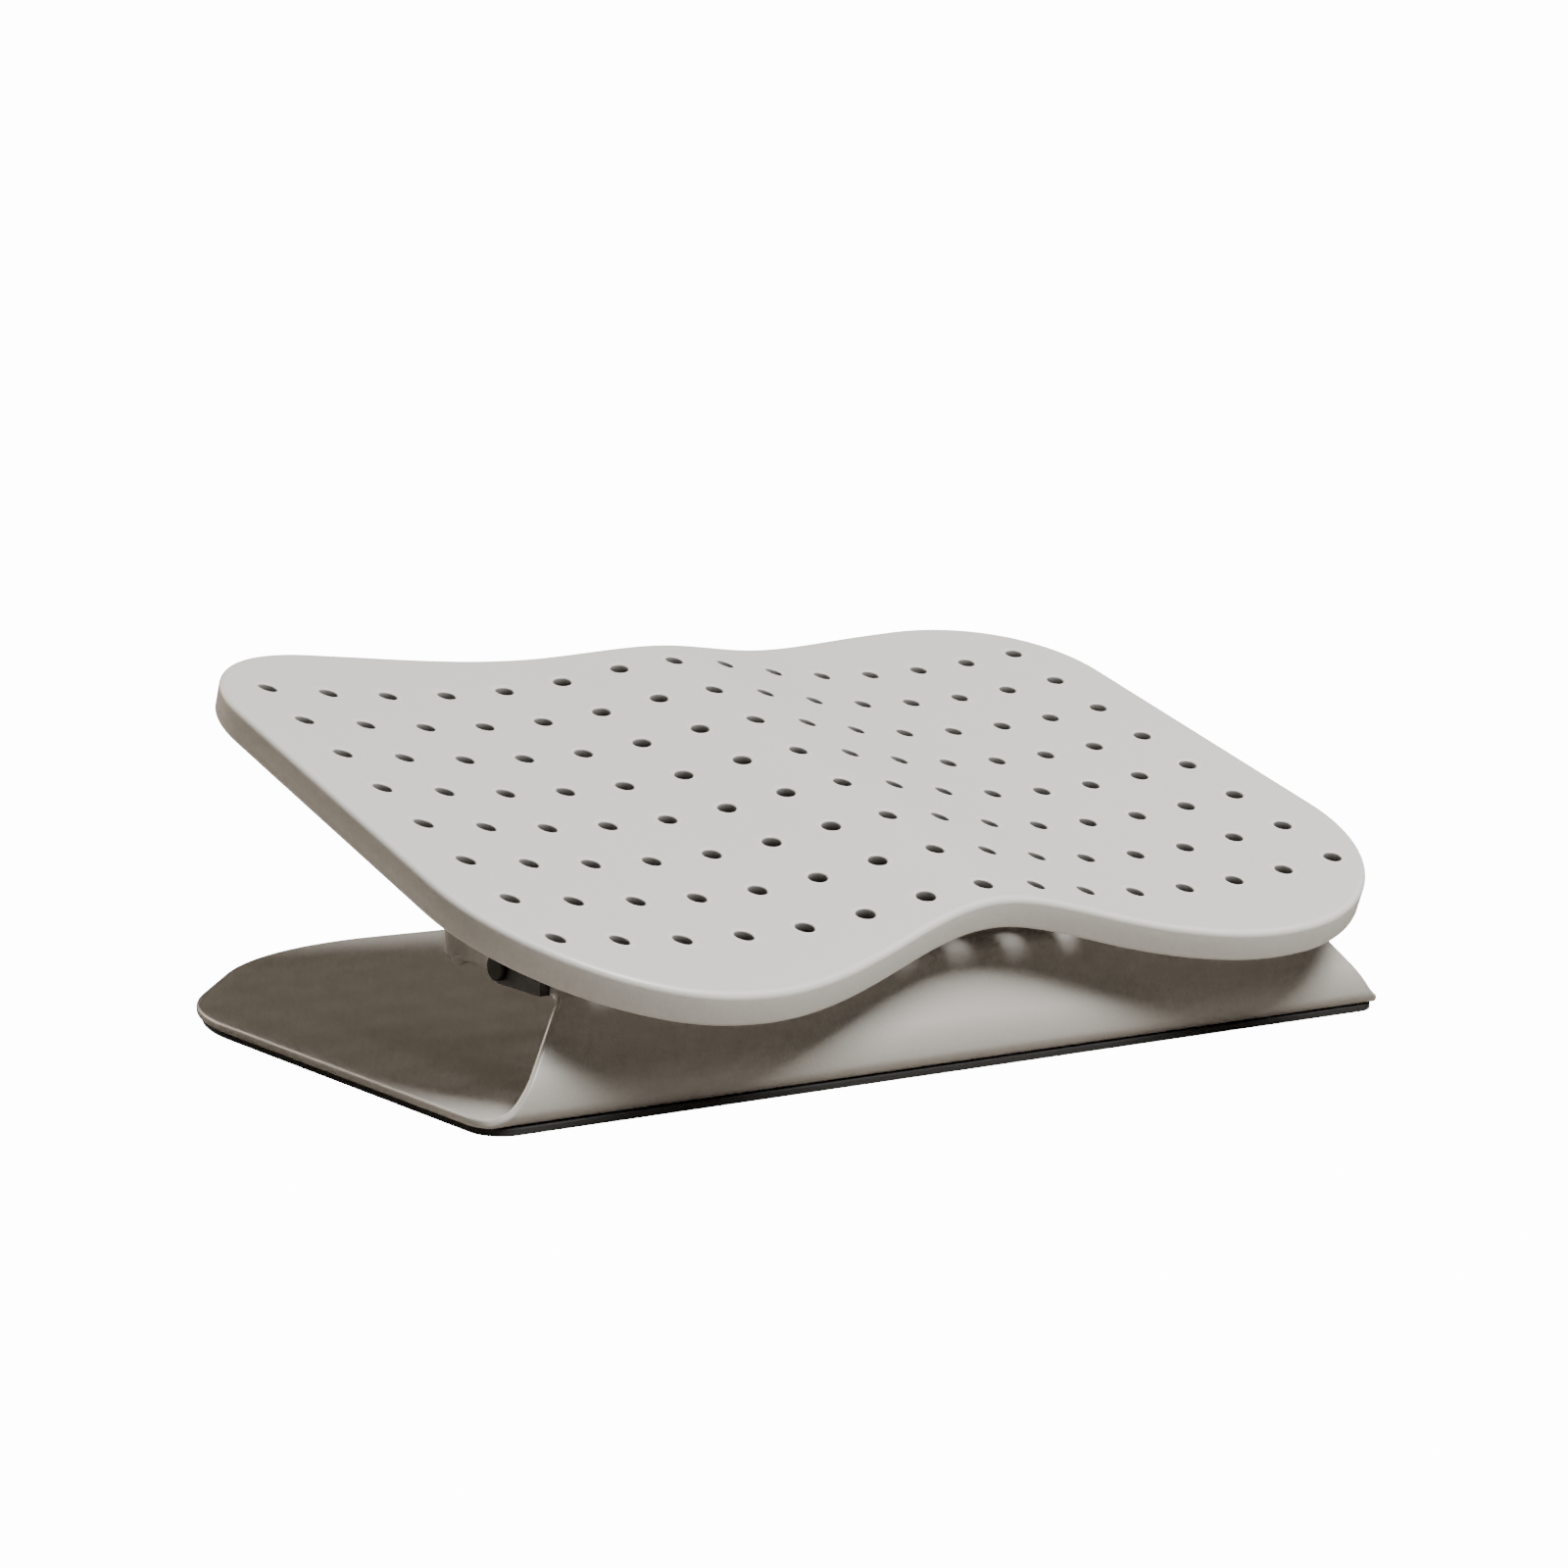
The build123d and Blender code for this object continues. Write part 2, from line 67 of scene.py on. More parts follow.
def camera_axes(turn, look_down, roll):
    """Right, up and forward: +Y turned about Z and tipped down, then all three rolled about it."""
    forward = np.array([
        math.sin(turn) * math.cos(look_down),
        math.cos(turn) * math.cos(look_down),
        -math.sin(look_down),
    ])
    level = np.array([math.cos(turn), -math.sin(turn), 0.0])
    upright = np.cross(level, forward)
    right = math.cos(roll) * level + math.sin(roll) * upright
    up = math.cos(roll) * upright - math.sin(roll) * level
    return right, up, forward


right, up, forward = camera_axes(TURN, LOOK_DOWN, ROLL)
camera_data = bpy.data.cameras.new("camera")
camera_data.lens = LENS
camera_data.sensor_width = SENSOR
camera = bpy.data.objects.new("camera", camera_data)
bpy.context.scene.collection.objects.link(camera)
stand = np.eye(4)
stand[:3, 0] = right
stand[:3, 1] = up
stand[:3, 2] = -forward
stand[:3, 3] = AIM - STAND_OFF * forward
camera.matrix_world = stand.T.tolist()
bpy.context.scene.camera = camera
print("camera at", np.round(stand[:3, 3], 3))

# %% [markdown]
# Every surface in this file is a grid of points. Blender could build it face by face, but whole
# arrays are quicker and easier to check: one helper numbers the quads between neighbouring points,
# and the other hands points and quads to a mesh at once.

# %% Mesh helpers


def grid_faces(rows, columns, close_columns=False):
    """Quads between neighbouring points of a grid whose index is row * columns + column."""
    row = np.arange(rows - 1)
    column = np.arange(columns if close_columns else columns - 1)
    r, c = np.meshgrid(row, column, indexing="ij")
    beside = (c + 1) % columns
    corners = [r * columns + c, r * columns + beside, (r + 1) * columns + beside, (r + 1) * columns + c]
    return np.stack(corners, -1).reshape(-1, 4)


def mesh_piece(name, points, quads, smooth=True):
    """Puts points (n, 3) and quads (m, 4) into a new mesh object at the origin."""
    mesh = bpy.data.meshes.new(name)
    mesh.vertices.add(len(points))
    mesh.vertices.foreach_set("co", np.asarray(points, np.float32).ravel())
    mesh.loops.add(4 * len(quads))
    mesh.loops.foreach_set("vertex_index", np.asarray(quads, np.int32).ravel())
    mesh.polygons.add(len(quads))
    mesh.polygons.foreach_set("loop_start", np.arange(0, 4 * len(quads), 4, dtype=np.int32))
    mesh.update(calc_edges=True)
    mesh.validate()
    mesh.polygons.foreach_set("use_smooth", np.full(len(mesh.polygons), smooth))
    piece = bpy.data.objects.new(name, mesh)
    bpy.context.scene.collection.objects.link(piece)
    return piece


# %% [markdown]
# The floor is one seamless sheet, as in a studio: flat under the object, then curving up far behind
# it. A profile carried across the width gives it in a few numbers, and with no corner there is no
# horizon line in the picture.

# %% Floor
FLOOR_FRONT = -4.0
FLOOR_BACK = 5.0
FLOOR_HALF = 18.0
SWEEP_RADIUS = 2.5
SWEEP_POINTS = 33
BACK_HEIGHT = 12.0


def seamless_profile():
    """Straight along the floor, a quarter circle up, then straight up: points (y, z) along the sheet."""
    angle = np.linspace(0.0, math.pi / 2, SWEEP_POINTS)
    sweep = np.stack([FLOOR_BACK + SWEEP_RADIUS * np.sin(angle), SWEEP_RADIUS * (1 - np.cos(angle))], -1)
    start = np.array([[FLOOR_FRONT, 0.0]])
    top = np.array([[FLOOR_BACK + SWEEP_RADIUS, BACK_HEIGHT]])
    return np.concatenate([start, sweep, top])


profile = seamless_profile()
across = np.array([FLOOR_HALF, -FLOOR_HALF])
sheet_x, sheet_row = np.meshgrid(across, np.arange(len(profile)), indexing="xy")
floor_points = np.stack([sheet_x, profile[sheet_row, 0], profile[sheet_row, 1]], -1).reshape(-1, 3)
floor = mesh_piece("studio_floor", floor_points, grid_faces(len(profile), len(across)))
print("floor:", len(floor_points), "points")

# %% [markdown]
# Light is a large soft box high in front, a little to the right, so that the board throws its own
# outline as a shadow on the wall. A weak warm one behind reaches the plate under the board. The world
# adds very little light, but the camera sees it as white as the floor, so no view has a horizon.

# %% Light
HEART = (0.0, -0.03, 0.08)
BOX_SIZE = 1.2
KEY_POWER = 150.0
REAR_POWER = 24.0
AIR_LIGHT = 0.02
SEEN_WHITE = 14.0


def wire(tree, *pairs):
    """Links each (output socket, input socket) pair."""
    for source, target in pairs:
        tree.links.new(source, target)


def soft_box(name, place, target, size, power, tint):
    """Square area light at a place, facing a target."""
    lamp = bpy.data.lights.new(name, "AREA")
    lamp.shape = "SQUARE"
    lamp.size = size
    lamp.energy = power
    lamp.color = tint
    box = bpy.data.objects.new(name, lamp)
    bpy.context.scene.collection.objects.link(box)
    back = np.array(place, float) - np.array(target, float)
    back /= np.linalg.norm(back)
    side = np.cross([0.0, 0.0, 1.0], back)
    side /= np.linalg.norm(side)
    facing = np.eye(4)
    facing[:3, 0] = side
    facing[:3, 1] = np.cross(back, side)
    facing[:3, 2] = back
    facing[:3, 3] = place
    box.matrix_world = facing.T.tolist()


soft_box("key_box", (0.34, -1.29, 2.33), HEART, BOX_SIZE, KEY_POWER, tint=(1.0, 0.995, 0.98))
soft_box("rear_box", (-0.45, 1.9, 0.8), HEART, BOX_SIZE, REAR_POWER, tint=(1.0, 0.86, 0.72))

world = bpy.data.worlds.new("studio_air")
bpy.context.scene.world = world
world.use_nodes = True
air_tree = world.node_tree
air = air_tree.nodes["Background"]
air.inputs["Color"].default_value = (1.0, 0.90, 0.80, 1.0)
air.inputs["Strength"].default_value = AIR_LIGHT
sky = air_tree.nodes.new("ShaderNodeBackground")
sky.inputs["Strength"].default_value = SEEN_WHITE
seen_air = air_tree.nodes.new("ShaderNodeLightPath").outputs["Is Camera Ray"]
air_mix = air_tree.nodes.new("ShaderNodeMixShader")
wire(
    air_tree,
    (seen_air, air_mix.inputs["Fac"]),
    (air.outputs["Background"], air_mix.inputs[1]),
    (sky.outputs["Background"], air_mix.inputs[2]),
    (air_mix.outputs["Shader"], air_tree.nodes["World Output"].inputs["Surface"]),
)

# %% [markdown]
# Finishes share a few effects: a fine grain pressed into moulded or coated surfaces, broad tone
# changes, dust that settles on faces that look up, lathe marks, a painted highlight on rounded edges
# that are also made smoother, and painted shade in the holes. Each could be drawn in every material,
# but one node group with named sockets is built once and only set differently.

# %% Effects shared by the finishes


def effect(name, inputs, outputs):
    """New node group; sockets are {label: kind}, or {label: number} for a float with that default."""
    group = bpy.data.node_groups.new(name, "ShaderNodeTree")
    for way, sockets in (("INPUT", inputs), ("OUTPUT", outputs)):
        for label, kind in sockets.items():
            preset = isinstance(kind, float)
            socket_type = "NodeSocketFloat" if preset else "NodeSocket" + kind
            socket = group.interface.new_socket(label, in_out=way, socket_type=socket_type)
            if preset:
                socket.default_value = kind
    return group, group.nodes.new("NodeGroupInput").outputs, group.nodes.new("NodeGroupOutput").inputs


def maths(tree, kind, first, second):
    """Math node of that kind; each side is a socket or a number."""
    node = tree.nodes.new("ShaderNodeMath")
    node.operation = kind
    for socket, value in zip(node.inputs, (first, second)):
        if isinstance(value, (int, float)):
            socket.default_value = value
        else:
            tree.links.new(value, socket)
    return node.outputs[0]


def blend(tree, share, first, second):
    """Colour first * (1 - share) + second * share; all three are sockets."""
    mix = tree.nodes.new("ShaderNodeMix")
    mix.data_type = "RGBA"
    wire(tree, (share, mix.inputs["Factor"]), (first, mix.inputs["A"]), (second, mix.inputs["B"]))
    return mix.outputs["Result"]


def noise(tree, vector, scale, detail, roughness=0.5):
    """Noise texture on a vector socket; scale is a socket or a number."""
    node = tree.nodes.new("ShaderNodeTexNoise")
    node.inputs["Detail"].default_value = detail
    node.inputs["Roughness"].default_value = roughness
    if isinstance(scale, (int, float)):
        node.inputs["Scale"].default_value = scale
    else:
        tree.links.new(scale, node.inputs["Scale"])
    tree.links.new(vector, node.inputs["Vector"])
    return node.outputs["Fac"]


def pressed_grain():
    """Height of a fine pebbled grain: distance in rounded cells plus a share of finer noise."""
    finer_times = 2.3
    group, given, made = effect(
        "pressed_grain",
        {"Place": "Vector", "Cells per metre": 1500.0, "Fine share": 0.4},
        {"Height": "Float"},
    )
    cells = group.nodes.new("ShaderNodeTexVoronoi")
    cells.feature = "SMOOTH_F1"
    cells.inputs["Smoothness"].default_value = 0.6
    wire(group, (given["Place"], cells.inputs["Vector"]), (given["Cells per metre"], cells.inputs["Scale"]))
    finer = maths(group, "MULTIPLY", given["Cells per metre"], finer_times)
    fine = maths(group, "MULTIPLY", noise(group, given["Place"], finer, detail=3.0), given["Fine share"])
    wire(group, (maths(group, "ADD", cells.outputs["Distance"], fine), made["Height"]))
    return group


def tone_drift():
    """Two colours mixed by broad, soft noise, with a roughness that drifts along with them."""
    group, given, made = effect(
        "tone_drift",
        {
            "Place": "Vector", "Light tone": "Color", "Deep tone": "Color", "Patches per metre": 14.0,
            "Least rough": 0.4, "Most rough": 0.5,
        },
        {"Color": "Color", "Roughness": "Float"},
    )
    broad = noise(group, given["Place"], given["Patches per metre"], detail=4.0, roughness=0.55)
    spread = group.nodes.new("ShaderNodeMapRange")
    spread.inputs["From Min"].default_value = 0.3
    spread.inputs["From Max"].default_value = 0.7
    wire(
        group,
        (broad, spread.inputs["Value"]),
        (given["Least rough"], spread.inputs["To Min"]),
        (given["Most rough"], spread.inputs["To Max"]),
        (blend(group, broad, given["Light tone"], given["Deep tone"]), made["Color"]),
        (spread.outputs["Result"], made["Roughness"]),
    )
    return group


def settled_dust():
    """Pale dust on faces that look up: normal Z squared, times a patchy noise, times an amount."""
    group, given, made = effect(
        "settled_dust",
        {"Place": "Vector", "Color": "Color", "Dust": "Color", "Amount": 0.1},
        {"Color": "Color"},
    )
    geometry = group.nodes.new("ShaderNodeNewGeometry")
    split = group.nodes.new("ShaderNodeSeparateXYZ")
    wire(group, (geometry.outputs["Normal"], split.inputs["Vector"]))
    facing = maths(group, "POWER", maths(group, "MAXIMUM", split.outputs["Z"], 0.0), 2.0)
    patches = noise(group, given["Place"], scale=55.0, detail=6.0, roughness=0.65)
    film = maths(group, "MULTIPLY", maths(group, "MULTIPLY", facing, patches), given["Amount"])
    wire(group, (blend(group, film, given["Color"], given["Dust"]), made["Color"]))
    return group


def lathe_marks():
    """Fine rings about an axis along X: noise read on (x, distance from the axis), the same all round."""
    group, given, made = effect(
        "lathe_marks",
        {"Place": "Vector", "Axis place": "Vector", "Rings per metre": 2500.0},
        {"Height": "Float"},
    )
    apart = group.nodes.new("ShaderNodeVectorMath")
    apart.operation = "SUBTRACT"
    split = group.nodes.new("ShaderNodeSeparateXYZ")
    wire(group, (given["Place"], apart.inputs[0]), (given["Axis place"], apart.inputs[1]))
    wire(group, (apart.outputs["Vector"], split.inputs["Vector"]))
    squares = [maths(group, "POWER", split.outputs[side], 2.0) for side in ("Y", "Z")]
    distance = maths(group, "SQRT", maths(group, "ADD", *squares), 0.0)
    section = group.nodes.new("ShaderNodeCombineXYZ")
    wire(group, (split.outputs["X"], section.inputs["X"]), (distance, section.inputs["Y"]))
    rings = noise(group, section.outputs["Vector"], given["Rings per metre"], detail=2.0)
    wire(group, (rings, made["Height"]))
    return group


def edge_highlight_and_polish():
    """Painted highlight on edges, with smoother roughness there: the mark on the points, broken up by noise, moves
    colour and roughness.
    """
    group, given, made = effect(
        "edge_highlight_and_polish",
        {
            "Place": "Vector", "Edge": 0.0, "Color": "Color", "Roughness": 0.5, "Bright tone": "Color",
            "Amount": 0.3, "Smoother by": 0.1,
        },
        {"Color": "Color", "Roughness": "Float"},
    )
    patches = noise(group, given["Place"], scale=70.0, detail=5.0, roughness=0.6)
    mark = maths(group, "MULTIPLY", given["Edge"], maths(group, "ADD", patches, 0.5))
    share = maths(group, "MULTIPLY", mark, given["Amount"])
    less = maths(group, "MULTIPLY", mark, given["Smoother by"])
    wire(group, (blend(group, share, given["Color"], given["Bright tone"]), made["Color"]))
    wire(group, (maths(group, "SUBTRACT", given["Roughness"], less), made["Roughness"]))
    return group


def painted_hole_shade():
    """Painted shade in the holes: the mark on the points, times noise from 0.85 to 1.15, moves the colour."""
    group, given, made = effect(
        "painted_hole_shade",
        {"Place": "Vector", "Hollow": 0.0, "Color": "Color", "Deep tone": "Color", "Amount": 0.8},
        {"Color": "Color"},
    )
    patches = maths(group, "MULTIPLY", noise(group, given["Place"], scale=160.0, detail=3.0), 0.3)
    mark = maths(group, "MULTIPLY", given["Hollow"], maths(group, "ADD", patches, 0.85))
    share = maths(group, "MULTIPLY", mark, given["Amount"])
    wire(group, (blend(group, share, given["Color"], given["Deep tone"]), made["Color"]))
    return group


PRESSED_GRAIN = pressed_grain()
TONE_DRIFT = tone_drift()
SETTLED_DUST = settled_dust()
LATHE_MARKS = lathe_marks()
EDGE_HIGHLIGHT_AND_POLISH = edge_highlight_and_polish()
PAINTED_HOLE_SHADE = painted_hole_shade()
print("effects:", [g.name for g in bpy.data.node_groups])

# %% [markdown]
# A finish is one material. The painted, moulded and rubber ones follow the same recipe: broad tone
# drift for the colour and roughness, dust on top, and the pressed grain as a bump. The recipe is a
# function, and each finish is a call with its own colours and scales.

# %% Finish recipes
TURNED_PATCHES = 160.0
TURNED_BUMP = 0.35


def begin_finish(name):
    """New material with its shader and Object coordinates; returns them with the node tree."""
    material = bpy.data.materials.new(name)
    material.use_nodes = True
    tree = material.node_tree
    shader = tree.nodes["Principled BSDF"]
    place = tree.nodes.new("ShaderNodeTexCoord").outputs["Object"]
    return material, tree, shader, place


def use_effect(tree, group, place, **values):
    """Places a group in a material; values are set on its sockets, underscores standing for spaces."""
    node = tree.nodes.new("ShaderNodeGroup")
    node.node_tree = group
    tree.links.new(place, node.inputs["Place"])
    for label, value in values.items():
        node.inputs[label.replace("_", " ")].default_value = value
    return node


def add_bump(tree, shader, height, strength, depth):
    """Bump node from a height socket; depth is the full height in metres."""
    bump = tree.nodes.new("ShaderNodeBump")
    bump.inputs["Strength"].default_value = strength
    bump.inputs["Distance"].default_value = depth
    tree.links.new(height, bump.inputs["Height"])
    tree.links.new(bump.outputs["Normal"], shader.inputs["Normal"])


def tone(red, green, blue):
    """Colour with full alpha."""
    return (red, green, blue, 1.0)


def coated(name, light, deep, rough, patches, cells, fine, bump, depth, dust=0.0, metallic=0.0, edge=None,
           hole_shade=None):
    """Moulded, painted or rubber finish: drifting tone and pressed grain, with a painted edge highlight, painted
    shade in holes, and dust.
    """
    material, tree, shader, place = begin_finish(name)
    drift = use_effect(
        tree, TONE_DRIFT, place, Light_tone=light, Deep_tone=deep, Patches_per_metre=patches,
        Least_rough=rough[0], Most_rough=rough[1],
    )
    colour = drift.outputs["Color"]
    roughness = drift.outputs["Roughness"]
    # Painted highlight: marked edges get a lighter colour, and a smoother roughness as well.
    if edge:
        mark = tree.nodes.new("ShaderNodeAttribute")
        mark.attribute_name = "edge"
        bright, amount, smoother = edge
        edge_lit = use_effect(
            tree, EDGE_HIGHLIGHT_AND_POLISH, place, Bright_tone=bright, Amount=amount, Smoother_by=smoother,
        )
        wire(tree, (mark.outputs["Fac"], edge_lit.inputs["Edge"]))
        wire(tree, (colour, edge_lit.inputs["Color"]), (roughness, edge_lit.inputs["Roughness"]))
        colour = edge_lit.outputs["Color"]
        roughness = edge_lit.outputs["Roughness"]
    # Painted shade: the hole walls and collars are darkened towards a near-black tone.
    if hole_shade:
        depth_mark = tree.nodes.new("ShaderNodeAttribute")
        depth_mark.attribute_name = "hole_shade"
        shaded_hole = use_effect(tree, PAINTED_HOLE_SHADE, place, Deep_tone=hole_shade[0], Amount=hole_shade[1])
        wire(tree, (depth_mark.outputs["Fac"], shaded_hole.inputs["Hollow"]), (colour, shaded_hole.inputs["Color"]))
        colour = shaded_hole.outputs["Color"]
    if dust:
        film = use_effect(tree, SETTLED_DUST, place, Dust=tone(0.72, 0.70, 0.66), Amount=dust)
        tree.links.new(colour, film.inputs["Color"])
        colour = film.outputs["Color"]
    grain = use_effect(tree, PRESSED_GRAIN, place, Cells_per_metre=cells, Fine_share=fine)
    wire(tree, (colour, shader.inputs["Base Color"]), (roughness, shader.inputs["Roughness"]))
    shader.inputs["Metallic"].default_value = metallic
    add_bump(tree, shader, grain.outputs["Height"], bump, depth)
    return material


def turned(name, light, deep, rough, axis_place, rings, depth):
    """Bare turned metal: drifting tone with lathe marks about the hinge axis."""
    material, tree, shader, place = begin_finish(name)
    drift = use_effect(
        tree, TONE_DRIFT, place, Light_tone=light, Deep_tone=deep, Patches_per_metre=TURNED_PATCHES,
        Least_rough=rough[0], Most_rough=rough[1],
    )
    marks = use_effect(tree, LATHE_MARKS, place, Axis_place=axis_place, Rings_per_metre=rings)
    wire(tree, (drift.outputs["Color"], shader.inputs["Base Color"]))
    wire(tree, (drift.outputs["Roughness"], shader.inputs["Roughness"]))
    shader.inputs["Metallic"].default_value = 1.0
    add_bump(tree, shader, marks.outputs["Height"], TURNED_BUMP, depth)
    return material


# %% [markdown]
# Each finish is named for its piece. A table of numbers could hold them all, but a call for each, with
# its values named, can be read and changed alone. The two turned steels take the hinge's axis from the
# frame, so their lathe marks run round the real pivot.

# %% Finishes
pivot = frame["joints"][0]["pos_m"]
FINISHES = {
    "board_plastic": coated(
        "board_moulded_grey", light=tone(0.66, 0.645, 0.61), deep=tone(0.60, 0.585, 0.55),
        rough=(0.46, 0.56), patches=11.0, cells=1900.0, fine=0.5, bump=0.22, depth=0.00012, dust=0.10,
        # painted highlight on the rim, the hole lips and the collars
        edge=(tone(0.80, 0.785, 0.75), 0.45, 0.14),
        # painted shade inside the holes and round their collars: near-black tone at 0.9
        hole_shade=(tone(0.045, 0.038, 0.030), 0.9),
    ),
    "base_paint": coated(
        "base_powder_coat", light=tone(0.43, 0.41, 0.38), deep=tone(0.38, 0.36, 0.33),
        rough=(0.36, 0.46), patches=9.0, cells=900.0, fine=0.35, bump=0.18, depth=0.00012, dust=0.12,
        # painted highlight along the sheet's rounded edges
        edge=(tone(0.62, 0.60, 0.57), 0.5, 0.14),
    ),
    "sole_rubber": coated(
        "sole_black_rubber", light=tone(0.012, 0.012, 0.012), deep=tone(0.020, 0.019, 0.018),
        rough=(0.62, 0.78), patches=25.0, cells=1300.0, fine=0.6, bump=0.35, depth=0.0002,
    ),
    "bracket_black": coated(
        "bracket_black_oxide", light=tone(0.018, 0.017, 0.016), deep=tone(0.030, 0.028, 0.026),
        rough=(0.34, 0.50), patches=60.0, cells=2600.0, fine=0.8, bump=0.20, depth=0.00008, dust=0.05,
    ),
    "friction_disc": coated(
        "friction_disc_fibre", light=tone(0.07, 0.062, 0.055), deep=tone(0.11, 0.098, 0.085),
        rough=(0.70, 0.85), patches=700.0, cells=3000.0, fine=0.9, bump=0.40, depth=0.00010,
    ),
    "arm_cast": coated(
        "arm_cast_grey", light=tone(0.50, 0.48, 0.45), deep=tone(0.43, 0.41, 0.38),
        rough=(0.40, 0.54), patches=40.0, cells=1400.0, fine=0.6, bump=0.30, depth=0.00015, dust=0.06,
    ),
    "rail_paint": coated(
        "rail_satin_grey", light=tone(0.30, 0.285, 0.27), deep=tone(0.25, 0.24, 0.225),
        rough=(0.38, 0.50), patches=22.0, cells=1100.0, fine=0.4, bump=0.20, depth=0.00012,
    ),
    "stop_rubber": coated(
        "stop_black_rubber", light=tone(0.020, 0.020, 0.020), deep=tone(0.034, 0.033, 0.032),
        rough=(0.66, 0.80), patches=120.0, cells=1800.0, fine=0.6, bump=0.30, depth=0.00012,
    ),
    "zinc_steel": coated(
        "screw_zinc_plate", light=tone(0.60, 0.61, 0.62), deep=tone(0.50, 0.505, 0.50),
        rough=(0.24, 0.38), patches=300.0, cells=3200.0, fine=0.9, bump=0.12, depth=0.00005, metallic=1.0,
    ),
    "spring_steel": turned(
        "spring_blued_steel", light=tone(0.20, 0.22, 0.28), deep=tone(0.30, 0.29, 0.28),
        rough=(0.26, 0.40), axis_place=pivot, rings=3200.0, depth=0.00004,
    ),
    "pin_steel": turned(
        "pin_blackened_steel", light=tone(0.040, 0.038, 0.036), deep=tone(0.028, 0.027, 0.026),
        rough=(0.40, 0.55), axis_place=pivot, rings=2600.0, depth=0.00005,
    ),
    "bush_bronze": coated(
        "bush_sintered_bronze", light=tone(0.46, 0.30, 0.13), deep=tone(0.33, 0.21, 0.09),
        rough=(0.40, 0.58), patches=420.0, cells=3600.0, fine=0.9, bump=0.35, depth=0.00008, metallic=1.0,
    ),
    "insert_brass": coated(
        "insert_brass", light=tone(0.70, 0.52, 0.22), deep=tone(0.58, 0.42, 0.17),
        rough=(0.26, 0.40), patches=300.0, cells=2800.0, fine=0.7, bump=0.20, depth=0.00006, metallic=1.0,
    ),
}
node_slots = {part["node"]: part["material_slot"] for part in frame["record"]["subparts"]}
for name, node in nodes.items():
    node.data.materials.clear()
    node.data.materials.append(FINISHES[node_slots[name]])
print("finishes:", len(FINISHES), "on", len(nodes), "nodes")

# %% [markdown]
# The studio floor is matt paper. In a photograph it is overexposed to plain white. A strong lamp on it
# could do that, but it would also light the object from below, so the glow is shown to the camera alone.

# %% Studio paper
PAPER_GLOW = 20.0
GLOW_SHARE = 0.7


def studio_paper():
    """Matt drifting tone; camera rays see a mix of it with a glow, all other rays only the paper."""
    material, tree, shader, place = begin_finish("studio_white")
    paper = use_effect(
        tree, TONE_DRIFT, place, Light_tone=tone(0.31, 0.283, 0.25), Deep_tone=tone(0.295, 0.268, 0.235),
        Patches_per_metre=0.6, Least_rough=0.75, Most_rough=0.85,
    )
    glow = tree.nodes.new("ShaderNodeEmission")
    glow.inputs["Strength"].default_value = PAPER_GLOW
    seen = tree.nodes.new("ShaderNodeLightPath").outputs["Is Camera Ray"]
    mix = tree.nodes.new("ShaderNodeMixShader")
    wire(
        tree,
        (paper.outputs["Color"], shader.inputs["Base Color"]),
        (paper.outputs["Roughness"], shader.inputs["Roughness"]),
        (maths(tree, "MULTIPLY", seen, GLOW_SHARE), mix.inputs["Fac"]),
        (shader.outputs["BSDF"], mix.inputs[1]),
        (glow.outputs["Emission"], mix.inputs[2]),
        (mix.outputs["Shader"], tree.nodes["Material Output"].inputs["Surface"]),
    )
    return material


floor.data.materials.append(studio_paper())
print("floor finish:", floor.data.materials[0].name)

# %% [markdown]
# The base is one steel sheet: flat on the floor, bent up at its front edge, bowed back into a lean
# and bent once more into a narrow flange under the board. It could be cut out of a block, but a
# sheet is easier to think of as its flat pattern: a half width for every distance along the bent
# line. The pattern is laid along that line, and a rounded edge is carried round its outline.

# %% Lines with rounded corners
MM = 0.001


def shifted_corners(corners, amount):
    """Corners of a line moved to its left: each inner one by amount * (n1 + n2) / (1 + n1.n2)."""
    run = np.diff(corners, axis=0)
    run /= np.linalg.norm(run, axis=1, keepdims=True)
    left = np.stack([-run[:, 1], run[:, 0]], -1)
    before = np.concatenate([left[:1], left])
    after = np.concatenate([left, left[-1:]])
    share = 1.0 + (before * after).sum(1, keepdims=True)
    return corners + amount * (before + after) / share


def rounded_line(corners, radii, steps=24):
    """Points along straight runs whose corners are arcs tangent to both runs, with these radii."""
    pieces = [corners[:1]]
    for place, before, after, radius in zip(corners[1:-1], corners[:-2], corners[2:], radii):
        back = (before - place) / np.linalg.norm(before - place)
        ahead = (after - place) / np.linalg.norm(after - place)
        half_angle = 0.5 * math.acos(float(np.clip(back @ ahead, -1.0, 1.0)))
        middle = (back + ahead) / np.linalg.norm(back + ahead)
        centre = place + middle * radius / math.sin(half_angle)
        first = place + back * radius / math.tan(half_angle) - centre
        last = place + ahead * radius / math.tan(half_angle) - centre
        sweep = math.pi - 2 * half_angle
        share = np.linspace(0.0, 1.0, steps + 1)[:, None]
        arc = np.sin((1 - share) * sweep) * first + np.sin(share * sweep) * last
        pieces.append(centre + arc / math.sin(sweep))
    pieces.append(corners[-1:])
    return np.concatenate(pieces)


def run_length(points):
    """Distance along a line of points, from 0 at the first."""
    return np.concatenate([[0.0], np.cumsum(np.linalg.norm(np.diff(points, axis=0), axis=1))])


def resampled(points, places):
    """Points of a line at these distances along it."""
    length = run_length(points)
    return np.stack([np.interp(places, length, points[:, 0]), np.interp(places, length, points[:, 1])], -1)


# %% [markdown]
# A real sheet has two faces and a rounded edge. Solidify and Bevel modifiers could add them, but the
# pattern's outline is known, so the edge is carried round it, and each point is then laid on the bend.

# %% A thick sheet laid along a bent line


